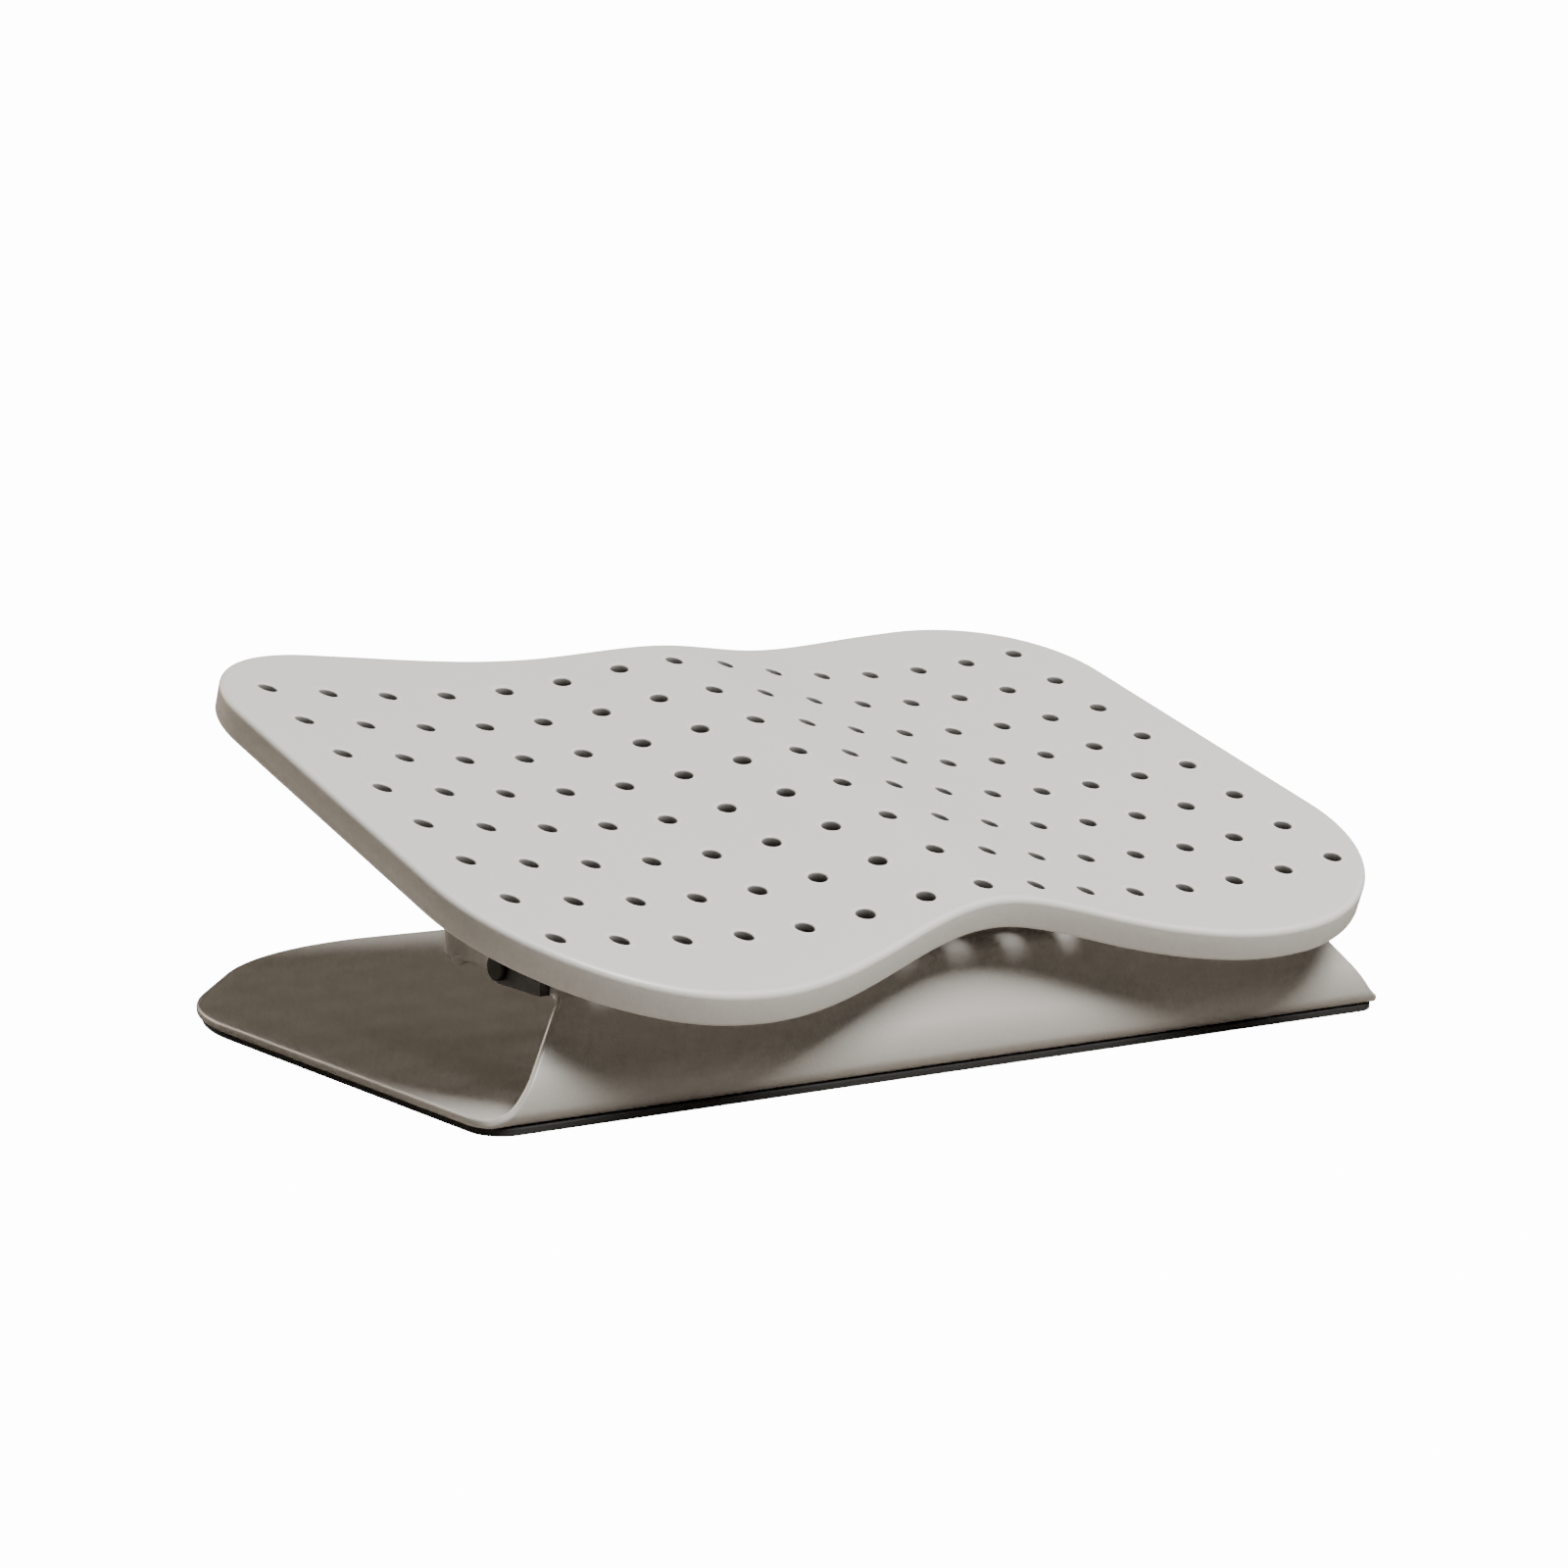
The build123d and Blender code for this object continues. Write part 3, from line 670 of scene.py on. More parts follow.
def edge_profile(thickness, radius, steps=5):
    """Rounded edge of a sheet, upper to lower face: (inset, lift) pairs on two quarter circles."""
    angle = np.linspace(0.0, math.pi / 2, steps + 1)
    inset = radius * (1 - np.sin(angle))
    lift = thickness / 2 - radius * (1 - np.cos(angle))
    return np.concatenate([inset, inset[::-1]]), np.concatenate([lift, -lift[::-1]])


def merged(points, quads):
    """Joins points that lie within a tenth of a micron of each other, and drops quads that fold flat."""
    key = np.round(points * 1e4).astype(np.int64)
    first, number = np.unique(key, axis=0, return_index=True, return_inverse=True)[1:]
    quads = number.reshape(-1)[quads]
    apart = (quads != np.roll(quads, 1, axis=1)).all(1)
    return points[first], quads[apart], first


def face_out(piece):
    """Turns all faces of a closed piece outwards."""
    work = bmesh.new()
    work.from_mesh(piece.data)
    bmesh.ops.recalc_face_normals(work, faces=work.faces)
    work.to_mesh(piece.data)
    work.free()


def keep_mask(piece, name, values):
    """Stores one number per point under a name, for a finish to read."""
    mask = piece.data.attributes.new(name, "FLOAT", "POINT")
    mask.data.foreach_set("value", np.asarray(values, np.float32))


def thick_sheet(name, bent, along, half, thickness, edge_radius, columns):
    """Sheet of a thickness laid along a bent line in (y, z), symmetrical in x.

    The pattern's outline is (distance along, half width). Each outline point is moved in by an inset
    along the outline's own normal and lifted off the middle surface, once per step of the edge profile.
    The two faces are straight rows between the left and right edges.
    """
    bent_length = run_length(bent)
    bent_run = np.gradient(bent, bent_length, axis=0)
    bent_run /= np.linalg.norm(bent_run, axis=1, keepdims=True)

    def laid(place, x, lift):
        """Point of the sheet: along the bent line, across it, and off its middle surface."""
        y = np.interp(place, bent_length, bent[:, 0])
        z = np.interp(place, bent_length, bent[:, 1])
        run_y = np.interp(place, bent_length, bent_run[:, 0])
        run_z = np.interp(place, bent_length, bent_run[:, 1])
        size = np.hypot(run_y, run_z)
        return np.stack([x + 0 * y, y + lift * run_z / size, z - lift * run_y / size], -1)

    across = np.linspace(-1.0, 1.0, columns + 1)
    rows = len(along)
    right = np.stack([along, half], -1)
    left = right * [1, -1]
    rear = np.stack([np.full(columns + 1, along[0]), half[0] * across], -1)
    front = np.stack([np.full(columns + 1, along[-1]), half[-1] * across], -1)
    loop = np.concatenate([rear, right[1:-1], front[::-1], left[-2:0:-1]])
    tangent = np.roll(loop, -1, axis=0) - np.roll(loop, 1, axis=0)
    tangent /= np.linalg.norm(tangent, axis=1, keepdims=True)
    inward = np.stack([tangent[:, 1], -tangent[:, 0]], -1)
    inset, lift = edge_profile(thickness, edge_radius)
    moved = loop[None] + inset[:, None, None] * inward[None]
    rim = laid(moved[..., 0], moved[..., 1], lift[:, None] + 0 * moved[..., 0])
    rim_quads = grid_faces(len(inset), len(loop), close_columns=True)

    def face(ring, height):
        """Rows across the sheet between the ring's left and right points."""
        ring_rear = ring[:columns + 1]
        ring_front = ring[columns + 1 + rows - 2:][:columns + 1][::-1]
        ring_right = np.concatenate([ring_rear[-1:], ring[columns + 1:columns + rows - 1], ring_front[-1:]])
        ring_left = np.concatenate([ring_rear[:1], ring[:-(rows - 1):-1], ring_front[:1]])
        share = ((across + 1) / 2)[None, :, None]
        grid = ring_left[:, None] * (1 - share) + ring_right[:, None] * share
        grid[0] = ring_rear
        grid[-1] = ring_front
        return laid(grid[..., 0], grid[..., 1], height + 0 * grid[..., 0]).reshape(-1, 3)

    top = face(moved[0], lift[0])
    bottom = face(moved[-1], lift[-1])
    face_quads = grid_faces(rows, columns + 1)
    count = len(rim.reshape(-1, 3))
    points = np.concatenate([rim.reshape(-1, 3), top, bottom])
    quads = np.concatenate([rim_quads, face_quads + count, face_quads + count + len(top)])
    # Share of the painted edge highlight: full at the rounded edge's crown, none on the faces.
    highlight_share = np.concatenate([np.repeat(1 - inset / edge_radius, len(loop)), np.zeros(len(top) + len(bottom))])
    points, quads, first = merged(points, quads)
    piece = mesh_piece(name, points * MM, quads)
    face_out(piece)
    keep_mask(piece, "edge", highlight_share[first])
    return piece


# %% [markdown]
# The base's pattern is as wide as the plate behind and narrows along the wall's slanted ends, with a
# flare where the wall leaves the plate. Plan and wall each give a half width for every distance along
# the bent line, and a soft minimum joins the two without a kink.

# %% Base sheet
BASE_HALF = 219.5
BASE_DEEP = 154.5
SHEET = 3.4
SOLE = 2.8
KNEE = 15.1465
HEAD_Y = -136.5021
FLANGE_TOP = 45.1
FLANGE_REAR = -119.0021
REAR_CUT = (85.0, 97.0)
PLAN_RADII = np.array([125.0, 85.0, 14.0])
WALL_FOOT_HALF = 211.0
FLANGE_HALF = 180.5
FLARE = 14.0
BEND_RADII = np.array([6.0, 20.0, 9.0])
REAR_ROWS = 64
PLATE_ROWS = (155.0, 287.0, 14)
BEND_START = 288.0
BEND_ROWS = 130
FLANGE_CORNER = 3.0
SOFTNESS = 0.5
SHEET_EDGE = 1.2
SHEET_COLUMNS = 30
HAIR = 1e-6


def base_plan(inset):
    """Right half of the base seen from above, from the rear middle round to the front middle."""
    corners = np.array([
        [0.0, BASE_DEEP],
        [BASE_HALF - REAR_CUT[0], BASE_DEEP],
        [BASE_HALF, BASE_DEEP - REAR_CUT[1]],
        [BASE_HALF, -BASE_DEEP],
        [0.0, -BASE_DEEP],
    ])
    return rounded_line(shifted_corners(corners, -inset), PLAN_RADII - inset)


def wall_half(height):
    """Half width that the wall's slanted end allows at a height, with a round flare into the plate."""
    plate_top = SOLE + SHEET
    slope = (WALL_FOOT_HALF - FLANGE_HALF) / (FLANGE_TOP - SHEET - plate_top)
    lean = math.atan(slope)
    flare_start = WALL_FOOT_HALF + FLARE * math.tan((math.pi / 2 - lean) / 2)
    flare_top = plate_top + FLARE * math.tan((math.pi / 2 - lean) / 2) * math.cos(lean)
    drop = np.clip(plate_top + FLARE - height, 0.0, FLARE)
    flared = flare_start - np.sqrt(FLARE ** 2 - drop ** 2)
    straight = np.maximum(WALL_FOOT_HALF - slope * (height - plate_top), FLANGE_HALF)
    allowed = np.where(height < flare_top, flared, straight)
    return np.where(height < plate_top, 2 * BASE_HALF, allowed)


outside = np.array([
    [BASE_DEEP, SOLE],
    [-BASE_DEEP, SOLE],
    [-BASE_DEEP, KNEE],
    [HEAD_Y, FLANGE_TOP],
    [FLANGE_REAR, FLANGE_TOP],
])
middle_line = rounded_line(shifted_corners(outside, -SHEET / 2), BEND_RADII - SHEET / 2)
plan = base_plan(0.0)
bent_end = run_length(middle_line)[-1]
side_part = plan[np.abs(plan[:, 1]) < BASE_DEEP - HAIR]
rear_part = plan[(plan[:, 1] > 0) & (plan[:, 0] > 0)]
rear_edge = resampled(rear_part, np.linspace(0.0, run_length(rear_part)[-1], REAR_ROWS))
front_along = np.concatenate([np.linspace(*PLATE_ROWS), np.linspace(BEND_START, bent_end, BEND_ROWS)])
front_place = resampled(middle_line, front_along)
plan_half = np.interp(-front_place[:, 0], -side_part[:, 1], side_part[:, 0])
end_half = wall_half(front_place[:, 1])
corner = np.clip(front_along - (bent_end - FLANGE_CORNER), 0.0, FLANGE_CORNER)
end_half = end_half - (FLANGE_CORNER - np.sqrt(FLANGE_CORNER ** 2 - corner ** 2))
front_half = -SOFTNESS * np.logaddexp(-plan_half / SOFTNESS, -end_half / SOFTNESS)
base_along = np.concatenate([BASE_DEEP - rear_edge[:, 1], front_along])
base_half = np.concatenate([rear_edge[:, 0], front_half])
base_sheet = thick_sheet(
    "base_sheet", middle_line, base_along, base_half, SHEET, SHEET_EDGE, SHEET_COLUMNS,
)
base_sheet.data.materials.append(FINISHES["base_paint"])
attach(base_sheet, "base")
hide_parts("base_shell")
print("base sheet:", len(base_sheet.data.polygons), "faces,", round(bent_end, 1), "mm along the bends")

# %% [markdown]
# A black rubber sole is stuck under the plate, a little smaller all round. It is the same kind of
# sheet on a line that isn't bent at all, so the same function makes it.

# %% Rubber sole
SOLE_INSET = 2.0
SOLE_EDGE = 0.7
SOLE_ROWS = 150
FLAT_POINTS = 61
sole_plan = base_plan(SOLE_INSET)
sole_deep = BASE_DEEP - SOLE_INSET
sole_side = sole_plan[1:-1]
sole_edge = resampled(sole_side, np.linspace(0.0, run_length(sole_side)[-1], SOLE_ROWS))
flat_y = np.linspace(sole_deep, -sole_deep, FLAT_POINTS)
flat_line = np.stack([flat_y, np.full(FLAT_POINTS, SOLE / 2)], -1)
rubber_sole = thick_sheet(
    "rubber_pad", flat_line, sole_deep - sole_edge[:, 1], sole_edge[:, 0], SOLE, SOLE_EDGE, SHEET_COLUMNS,
)
rubber_sole.data.materials.append(FINISHES["sole_rubber"])
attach(rubber_sole, "base")
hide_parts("rubber_sole")
print("rubber sole:", len(rubber_sole.data.polygons), "faces")

# %% [markdown]
# The foot board is a moulded tray: a waved skin with a rounded rim, perforated by a grid of holes and
# stiffened below by ribs. A boolean would cut the holes, but it leaves long thin faces that shade
# badly. Here the skin is divided into one cell per hole. In every cell the points run in rings from
# the cell's border to the hole, so the holes get clean rounded lips.

# %% Board lines
BOARD_MIDDLE = np.array([0.0, -47.8611, 94.0490])
BOARD_TILT = math.radians(18.0)
BOARD_HALF = 215.5
BOARD_DEEP = 143.5
REAR_ROUND = 68.0
FRONT_ROUND = 80.0
REAR_DIP = (23.0, 140.0)
FRONT_NOTCH = (28.0, 130.0)
HOLE = 3.7
PITCH = (27.0, 29.5)
COLUMNS = 15
ROWS = 8
SKIN = 3.0
RIM = 12.6
RIM_ROUND = 2.6
EDGE_POINTS = 120
ARC_POINTS = 60
RIM_WALL = 3.2
FILLET = 0.6


def board_place(u, v, w):
    """Point of the tilted board: u across, v along the board away from the sitter, w off its mean top."""
    along = np.array([0.0, math.cos(BOARD_TILT), math.sin(BOARD_TILT)])
    off = np.array([0.0, -math.sin(BOARD_TILT), math.cos(BOARD_TILT)])
    spot = BOARD_MIDDLE + v[..., None] * along + w[..., None] * off
    spot[..., 0] += u
    return spot


WAVE_U = np.array([0.0, 54.0, 108.0, 162.0, 215.5, 225.5])
WAVE_W = np.array([6.6, -0.8, -4.4, -0.8, 6.2, 7.5084])


def spline_bends(x, y):
    """Second derivatives of the natural cubic spline through these points, from its banded equations."""
    gap = np.diff(x)
    slope = np.diff(y) / gap
    system = np.eye(len(x))
    inner = np.arange(1, len(x) - 1)
    system[inner, inner] = 2 * (gap[:-1] + gap[1:])
    system[inner, inner - 1] = gap[:-1]
    system[inner, inner + 1] = gap[1:]
    known = np.zeros(len(x))
    known[1:-1] = 6 * np.diff(slope)
    return np.linalg.solve(system, known)


wave_u = np.concatenate([-WAVE_U[:0:-1], WAVE_U])
wave_w = np.concatenate([WAVE_W[:0:-1], WAVE_W])
wave_bend = spline_bends(wave_u, wave_w)


def wave(u):
    """Height of the waved top at u: the cubic of the spline span that u lies in."""
    span = np.clip(np.searchsorted(wave_u, u) - 1, 0, len(wave_u) - 2)
    gap = wave_u[span + 1] - wave_u[span]
    a = (wave_u[span + 1] - u) / gap
    b = 1 - a
    cubic = ((a ** 3 - a) * wave_bend[span] + (b ** 3 - b) * wave_bend[span + 1]) * gap ** 2 / 6
    return a * wave_w[span] + b * wave_w[span + 1] + cubic


def smooth_step(share):
    """3 t squared minus 2 t cubed: level at both ends."""
    t = np.clip(share, 0.0, 1.0)
    return t * t * (3 - 2 * t)


def butterfly():
    """Outline of the board as (u, v), clockwise from above, from the middle of the rear left corner."""
    u = np.linspace(0.0, BOARD_HALF - REAR_ROUND, EDGE_POINTS)
    rear = np.stack([u, BOARD_DEEP - REAR_DIP[0] * (1 - smooth_step(u / REAR_DIP[1]))], -1)
    turn = np.linspace(0.0, math.pi / 2, ARC_POINTS)[1:-1]
    rear_arc = np.stack([
        BOARD_HALF - REAR_ROUND + REAR_ROUND * np.sin(turn),
        BOARD_DEEP - REAR_ROUND + REAR_ROUND * np.cos(turn),
    ], -1)
    v = np.linspace(BOARD_DEEP - REAR_ROUND, FRONT_ROUND - BOARD_DEEP, ARC_POINTS)
    side = np.stack([np.full(ARC_POINTS, BOARD_HALF), v], -1)
    front_arc = np.stack([
        BOARD_HALF - FRONT_ROUND + FRONT_ROUND * np.cos(turn),
        FRONT_ROUND - BOARD_DEEP - FRONT_ROUND * np.sin(turn),
    ], -1)
    u = np.linspace(BOARD_HALF - FRONT_ROUND, 0.0, EDGE_POINTS)
    front = np.stack([u, FRONT_NOTCH[0] * (1 - smooth_step(u / FRONT_NOTCH[1])) - BOARD_DEEP], -1)
    right = np.concatenate([rear, rear_arc, side, front_arc, front])
    left = right[-2:0:-1] * [-1, 1]
    loop = np.concatenate([right, left])
    cut = REAR_ROUND * (1 - math.sqrt(0.5))
    apart = np.abs(loop[:, 0] + BOARD_HALF - cut) + np.abs(loop[:, 1] - BOARD_DEEP + cut)
    return np.roll(loop, -np.argmin(apart), axis=0)


outline = butterfly()
outline_run = np.roll(outline, -1, axis=0) - np.roll(outline, 1, axis=0)
outline_run /= np.linalg.norm(outline_run, axis=1, keepdims=True)
outline_in = np.stack([outline_run[:, 1], -outline_run[:, 0]], -1)
print("board outline:", len(outline), "points")

# %% [markdown]
# Lines half way between the holes divide the skin into cells. Inside they are straight; where they meet
# the rim they end on the outline, so the outer cells follow the butterfly. Rings then run from each
# cell's border over the lip, down the hole, round its collar and back along the underside.

# %% Cells of the skin
CELL_STEPS = 8


def border_places(inset):
    """Distances along the inset outline where the lines between the holes meet it, once round."""
    ring = outline + inset * outline_in
    length = run_length(np.concatenate([ring, ring[:1]]))
    ends = [np.argmin(np.abs(ring @ [a, b] - (ring @ [a, b]).max())) for a, b in ((1, 1), (1, -1), (-1, -1))]
    rear, side, front, home = np.split(np.arange(len(ring)), ends)
    u = (np.arange(1, COLUMNS) - COLUMNS / 2) * PITCH[0]
    v = (np.arange(1, ROWS) - ROWS / 2) * PITCH[1]
    marks = np.concatenate([
        [0.0], np.interp(u, ring[rear, 0], length[rear]),
        [length[ends[0]]], np.interp(v, -ring[side, 1], length[side]),
        [length[ends[1]]], np.interp(u, -ring[front, 0], length[front]),
        [length[ends[2]]], np.interp(v, ring[home, 1], length[home]),
        [length[-1]],
    ])
    steps = np.arange(CELL_STEPS * (len(marks) - 1)) / CELL_STEPS
    return np.interp(steps, np.arange(len(marks)), marks), length


def border_ring(inset, places, length):
    """Points of the outline, moved in by an inset, at these distances."""
    ring = outline + inset * outline_in
    ring = np.concatenate([ring, ring[:1]])
    return np.stack([np.interp(places, length, ring[:, 0]), np.interp(places, length, ring[:, 1])], -1)


def cell_borders(border):
    """Points round every cell, (columns, rows, 4 * steps, 2): straight inside, the border ring outside."""
    m = CELL_STEPS
    u = (np.arange(COLUMNS + 1) - COLUMNS / 2) * PITCH[0]
    v = (np.arange(ROWS + 1) - ROWS / 2) * PITCH[1]
    knots = np.stack(np.meshgrid(u, v, indexing="ij"), -1)
    closed = np.concatenate([border, border[:1]])
    rear = closed[:COLUMNS * m + 1]
    right = closed[COLUMNS * m:(COLUMNS + ROWS) * m + 1]
    front = closed[(COLUMNS + ROWS) * m:(2 * COLUMNS + ROWS) * m + 1]
    left = closed[(2 * COLUMNS + ROWS) * m:]
    knots[:, -1] = rear[::m]
    knots[-1, :] = right[::-m]
    knots[:, 0] = front[::-m]
    knots[0, :] = left[::m]
    share = np.linspace(0.0, 1.0, m + 1)[:, None]
    flat = knots[:-1, :, None] * (1 - share) + knots[1:, :, None] * share
    upright = knots[:, :-1, None] * (1 - share) + knots[:, 1:, None] * share
    pick = np.arange(COLUMNS)[:, None] * m + np.arange(m + 1)
    flat[:, -1] = rear[pick]
    flat[:, 0] = front[::-1][pick]
    pick = np.arange(ROWS)[:, None] * m + np.arange(m + 1)
    upright[-1] = right[::-1][pick]
    upright[0] = left[pick]
    return np.concatenate([
        flat[:, :-1, :-1], upright[1:, :, :-1], flat[:, 1:, :0:-1], upright[:-1, :, :0:-1],
    ], 2)


def hole_rings(radius):
    """Circles of a radius in every cell, point by point opposite the cell's border."""
    m = CELL_STEPS
    angle = -0.75 * math.pi + 0.5 * math.pi * np.arange(4 * m) / m
    u = (np.arange(COLUMNS) - (COLUMNS - 1) / 2) * PITCH[0]
    v = (np.arange(ROWS) - (ROWS - 1) / 2) * PITCH[1]
    centres = np.stack(np.meshgrid(u, v, indexing="ij"), -1)[:, :, None]
    return centres + radius * np.stack([np.cos(angle), np.sin(angle)], -1)


LIP = 0.6
LIP_BELOW = 0.3
COLLAR = 5.2
COLLAR_DEEP = 9.0
LAST_RING = 1.1
# Share of the painted edge highlight on the collars under the skin.
COLLAR_HIGHLIGHT = 0.6
UNDERSIDE_RINGS = 4
places, border_length = border_places(RIM_ROUND)
top_cells = cell_borders(border_ring(RIM_ROUND, places, border_length))
low_cells = cell_borders(border_ring(RIM_WALL + FILLET, places, border_length))
stack = []
for share in (0.0, 0.12, 0.4, 0.7, 0.9):
    stack.append((top_cells * (1 - share) + hole_rings(HOLE + LAST_RING) * share, 0.0, 0.0))
for angle in np.linspace(0.0, math.pi / 2, 6):
    stack.append((hole_rings(HOLE + LIP * (1 - math.sin(angle))), LIP * (1 - math.cos(angle)), 1.0))
stack.append((hole_rings(HOLE), SKIN, 0.0))
stack.append((hole_rings(HOLE), COLLAR_DEEP - LIP_BELOW, COLLAR_HIGHLIGHT))
stack.append((hole_rings(HOLE + LIP_BELOW), COLLAR_DEEP, COLLAR_HIGHLIGHT))
stack.append((hole_rings(COLLAR - LIP_BELOW), COLLAR_DEEP, COLLAR_HIGHLIGHT))
stack.append((hole_rings(COLLAR), COLLAR_DEEP - LIP_BELOW, COLLAR_HIGHLIGHT))
stack.append((hole_rings(COLLAR), SKIN + LIP, 0.0))
stack.append((hole_rings(COLLAR + LIP), SKIN, 0.0))
for share in (0.75, 0.35, 0.0):
    stack.append((low_cells * (1 - share) + hole_rings(COLLAR + LAST_RING) * share, SKIN, 0.0))
rings = np.stack([ring for ring, drop, highlight_share in stack], 2)
drops = np.array([drop for ring, drop, highlight_share in stack])[:, None]
ring_highlight = np.array([highlight_share for ring, drop, highlight_share in stack])[:, None]
# Mask for the painted shade in the holes: 1 down the hole walls and collars, none on the underside rings.
ring_depth = np.clip((drops - LIP / 2) / LIP, 0.0, 1.0)
ring_depth[-UNDERSIDE_RINGS:] = 0.0
cell_points = board_place(rings[..., 0], rings[..., 1], wave(rings[..., 0]) - drops)
cell_highlight = np.broadcast_to(ring_highlight, rings.shape[:-1])
cell_depth = np.broadcast_to(ring_depth, rings.shape[:-1])
one_cell = grid_faces(len(stack), 4 * CELL_STEPS, close_columns=True)
cell_size = len(stack) * 4 * CELL_STEPS
cell_quads = (np.arange(COLUMNS * ROWS)[:, None, None] * cell_size + one_cell).reshape(-1, 4)
print("skin:", COLUMNS * ROWS, "cells,", len(cell_quads), "faces")

# %% [markdown]
# The rim stiffens the tray. A Bevel modifier could round it, but its section is known, so the outline
# is carried through that section: rounded top, outer wall, rounded foot, inner wall and fillet.

# %% Rim of the board
FOOT_ROUND = 1.2
INNER_ROUND = 0.5
TOP_POINTS = 9
FOOT_POINTS = 5


def rim_profile():
    """Rounded top, wall, rounded foot and inner wall of the rim: (inset, drop below the wave, share of painted
    edge highlight).
    """
    top = np.linspace(0.0, math.pi / 2, TOP_POINTS)
    foot = np.linspace(0.0, math.pi / 2, FOOT_POINTS)
    parts = [
        (RIM_ROUND * (1 - np.sin(top)), RIM_ROUND * (1 - np.cos(top)), np.sin(2 * top)),
        (FOOT_ROUND * (1 - np.cos(foot)), RIM - FOOT_ROUND * (1 - np.sin(foot)), 0.5 + 0 * foot),
        (RIM_WALL - INNER_ROUND * (1 - np.sin(foot)), RIM - INNER_ROUND * (1 - np.cos(foot)), 0 * foot),
        (RIM_WALL + FILLET * (1 - np.cos(foot)), SKIN + FILLET * (1 - np.sin(foot)), 0 * foot),
    ]
    return np.concatenate([np.stack(part, -1) for part in parts])


rim = rim_profile()
rim_rings = np.stack([border_ring(inset, places, border_length) for inset in rim[:, 0]])
rim_points = board_place(rim_rings[..., 0], rim_rings[..., 1], wave(rim_rings[..., 0]) - rim[:, 1, None])
rim_quads = grid_faces(len(rim), len(places), close_columns=True)
points = np.concatenate([cell_points.reshape(-1, 3), rim_points.reshape(-1, 3)])
quads = np.concatenate([cell_quads, rim_quads + cell_points.size // 3])
# Share of the painted edge highlight for every point of skin and rim.
highlight_share = np.concatenate([cell_highlight.ravel(), np.repeat(rim[:, 2], len(places))])
points, quads, first = merged(points, quads)
board_skin = mesh_piece("board_skin", points * MM, quads)
face_out(board_skin)
keep_mask(board_skin, "edge", highlight_share[first])
# The hole mask below drives the painted shade inside the holes.
keep_mask(board_skin, "hole_shade", np.concatenate([cell_depth.ravel(), np.zeros(rim_points.size // 3)])[first])
board_skin.data.materials.append(FINISHES["board_plastic"])
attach(board_skin, "board")
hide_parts("foot_board")
print("board skin:", len(points), "points,", len(quads), "faces")

# %% [markdown]
# Under the skin, ribs run between the rows of holes. A bevelled box could stand for each, but a rib
# follows the waved skin, so it is a small rounded section carried along a line, with capped ends.

# %% Ribs
RIB = 2.0
RIB_DEEP = 9.0
RIB_ROUND = 0.5
BURIED = 0.6
RIB_INSET = 2.9
RIB_POINTS = 9
CROSS_POINTS = 121


def rib_section():
    """Section of a rib as (offset, drop): down one side, round the foot, up the other into the skin."""
    foot = np.linspace(0.0, math.pi / 2, 4)
    offset = np.concatenate([[RIB / 2], RIB / 2 - RIB_ROUND * (1 - np.cos(foot))])
    drop = np.concatenate([[SKIN - BURIED], RIB_DEEP - RIB_ROUND * (1 - np.sin(foot))])
    return np.concatenate([offset, -offset[::-1]]), np.concatenate([drop, drop[::-1]])


def cap_quads(count):
    """Closes a ring of an even number of points: a strip of quads between its two halves."""
    near = np.arange(count // 2 - 1)
    far = count - 1 - near
    return np.stack([near, near + 1, far - 1, far], -1)


def rib(line_u, line_v, side_u, side_v):
    """One rib: its section set across a line of (u, v) points, with a flat cap on each end."""
    offset, drop = rib_section()
    u = line_u[:, None] + offset * side_u
    v = line_v[:, None] + offset * side_v
    cap = cap_quads(len(offset))
    last_ring = (len(line_u) - 1) * len(offset)
    sides = grid_faces(len(line_u), len(offset), close_columns=True)
    return board_place(u, v, wave(u) - drop).reshape(-1, 3), np.concatenate([sides, cap, cap + last_ring])


ring_inner = outline + RIB_INSET * outline_in
front_half_line = ring_inner[ring_inner[:, 1] < 0]
rear_half_line = ring_inner[ring_inner[:, 1] > 0]
front_half_line = front_half_line[np.argsort(front_half_line[:, 0])]
rear_half_line = rear_half_line[np.argsort(rear_half_line[:, 0])]
rib_parts = []
for u in (np.arange(COLUMNS - 1) - (COLUMNS - 2) / 2) * PITCH[0]:
    start = np.interp(u, front_half_line[:, 0], front_half_line[:, 1])
    end = np.interp(u, rear_half_line[:, 0], rear_half_line[:, 1])
    line = np.linspace(start, end, RIB_POINTS)
    rib_parts.append(rib(np.full(len(line), u), line, 1.0, 0.0))
reach = BOARD_HALF - RIB_INSET
cross_line = np.linspace(-reach, reach, CROSS_POINTS)
for v in (-2 * PITCH[1], 0.0, 2 * PITCH[1]):
    rib_parts.append(rib(cross_line, np.full(len(cross_line), v), 0.0, 1.0))
starts = np.cumsum([0] + [len(spots) for spots, faces in rib_parts[:-1]])
rib_points = np.concatenate([spots for spots, faces in rib_parts])
rib_quads = np.concatenate([faces + start for (spots, faces), start in zip(rib_parts, starts)])
board_ribs = mesh_piece("board_ribs", rib_points * MM, rib_quads)
face_out(board_ribs)
keep_mask(board_ribs, "edge", np.zeros(len(rib_points)))

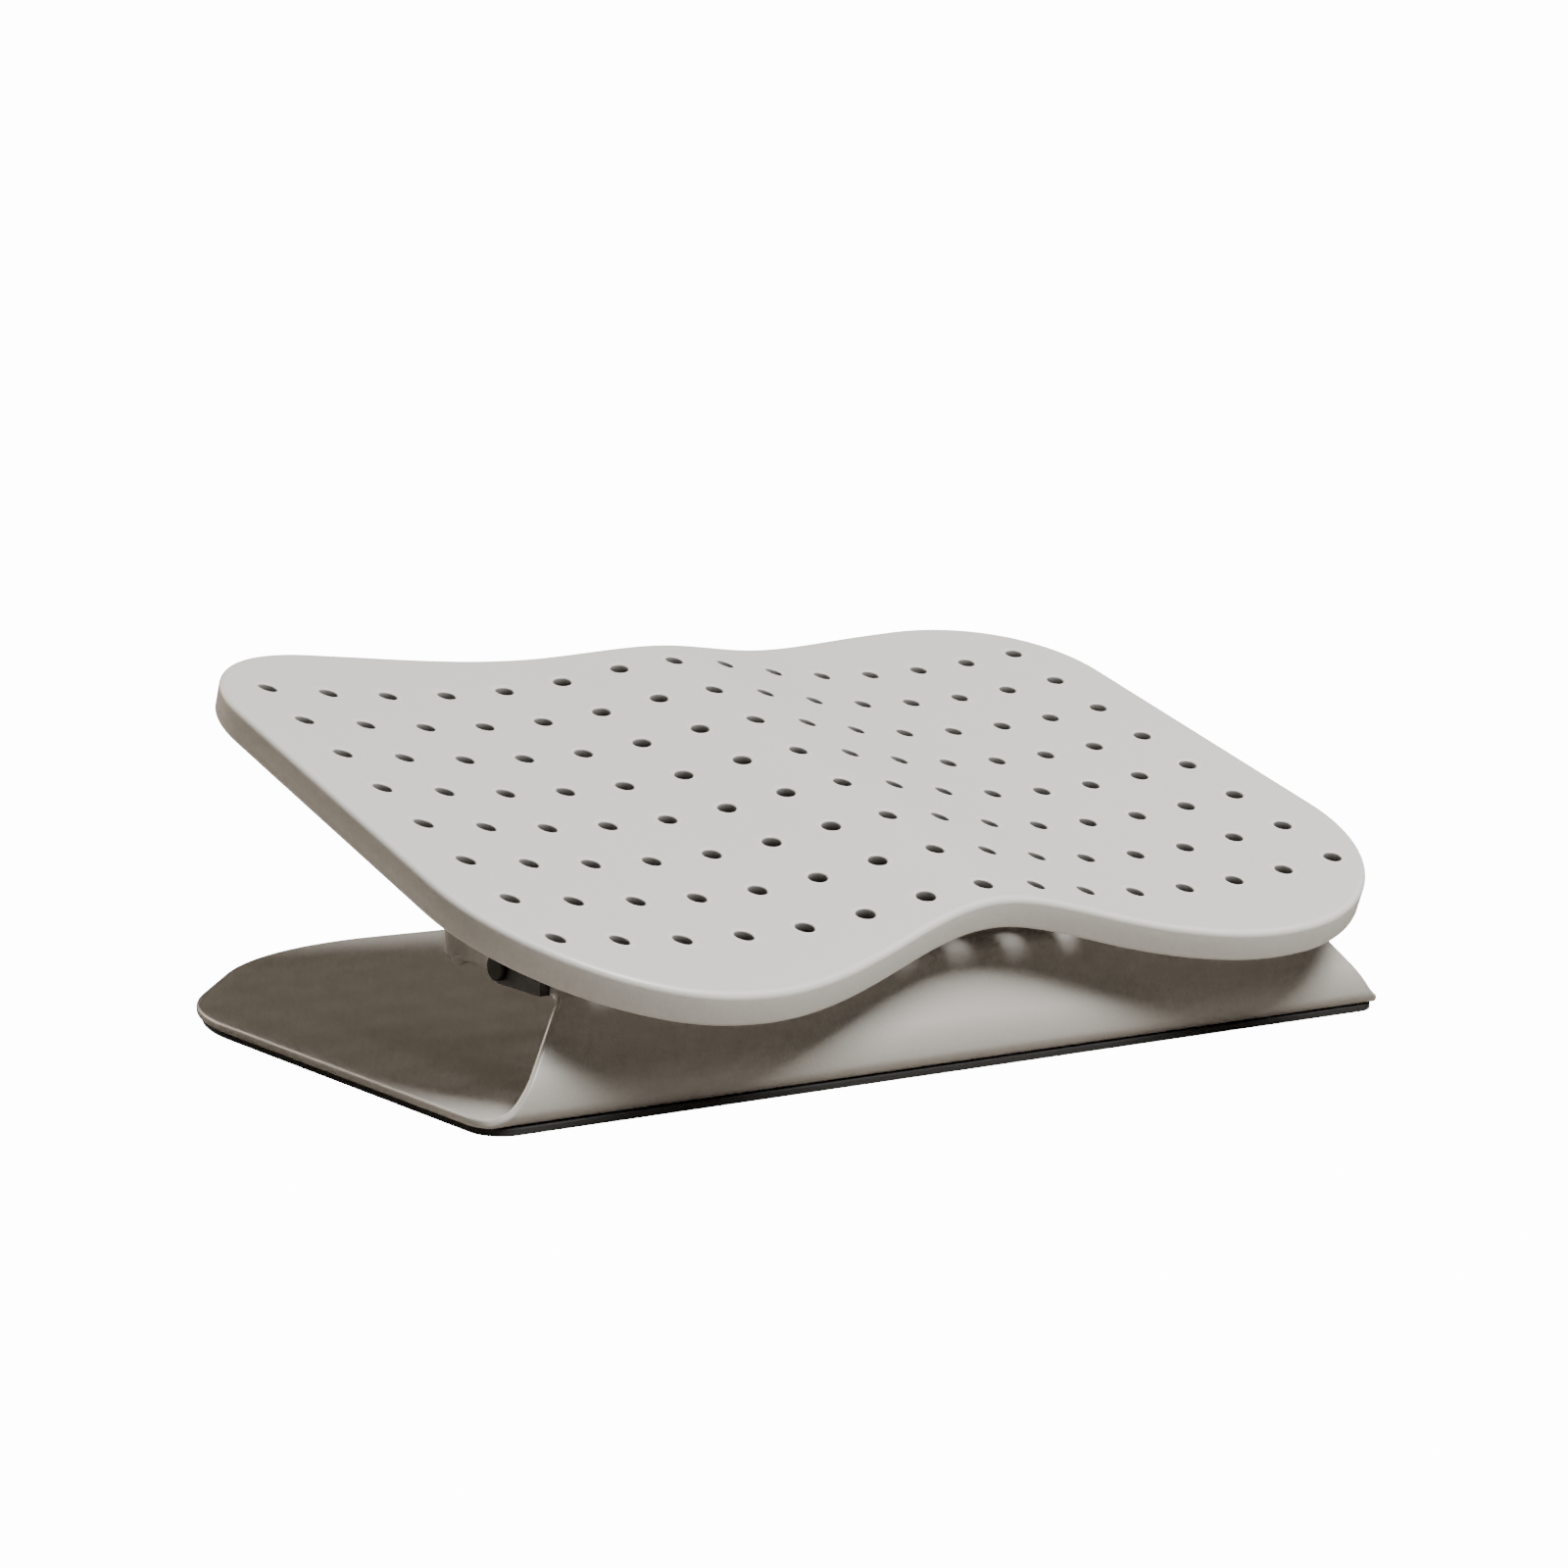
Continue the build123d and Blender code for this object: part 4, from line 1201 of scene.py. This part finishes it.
# %% [markdown]
# Eight bosses take the screws of the arms and the rail. A Screw modifier could turn them; here one
# profile of heights and radii is turned in a single array step, and its two end rings are capped.

# %% Bosses
PAD_COLUMN = 5.5 * PITCH[0]
RAIL_COLUMN = 2.5 * PITCH[0]
BOSS = 5.0
INSERT_BORE = 2.82
INSERT_DEEP = 7.0
BOSS_SIDES = 40
BOSS_ROUND = 0.5
BORE_LIP = 0.2
BOSS_BURIED = 2.0
PAD_END = -15.0
RAIL_END = -18.5


def boss(u, v, end):
    """Screw boss: bore floor, bore, rounded end and outer wall turned about the boss's axis."""
    head = wave(np.array(u)) - BOSS_BURIED
    height = np.array([end + INSERT_DEEP, end + BORE_LIP, end, end, end + BOSS_ROUND, head])
    radius = np.array([INSERT_BORE, INSERT_BORE, INSERT_BORE + BORE_LIP, BOSS - BOSS_ROUND, BOSS, BOSS])
    angle = np.linspace(0.0, 2 * math.pi, BOSS_SIDES, endpoint=False)
    spots_u = u + radius[:, None] * np.cos(angle)
    spots_v = v + radius[:, None] * np.sin(angle)
    return board_place(spots_u, spots_v, height[:, None] + 0 * spots_u).reshape(-1, 3)


boss_places = [(side * PAD_COLUMN, row * PITCH[1], PAD_END) for side in (-1, 1) for row in (-2, -1, 0)]
boss_places += [(side * RAIL_COLUMN, -PITCH[1], RAIL_END) for side in (-1, 1)]
boss_points = np.concatenate([boss(*spot) for spot in boss_places])
boss_size = len(boss_points) // len(boss_places)
boss_cap = cap_quads(BOSS_SIDES)
boss_wall = grid_faces(boss_size // BOSS_SIDES, BOSS_SIDES, close_columns=True)
one_boss = np.concatenate([boss_wall, boss_cap, boss_cap + boss_size - BOSS_SIDES])
boss_quads = (np.arange(len(boss_places))[:, None, None] * boss_size + one_boss).reshape(-1, 4)
board_bosses = mesh_piece("board_bosses", boss_points * MM, boss_quads, smooth=False)
face_out(board_bosses)
keep_mask(board_bosses, "edge", np.zeros(len(boss_points)))
for piece in (board_ribs, board_bosses):
    piece.data.materials.append(FINISHES["board_plastic"])
    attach(piece, "board")
print("ribs and bosses:", len(rib_quads) + len(boss_quads), "faces")
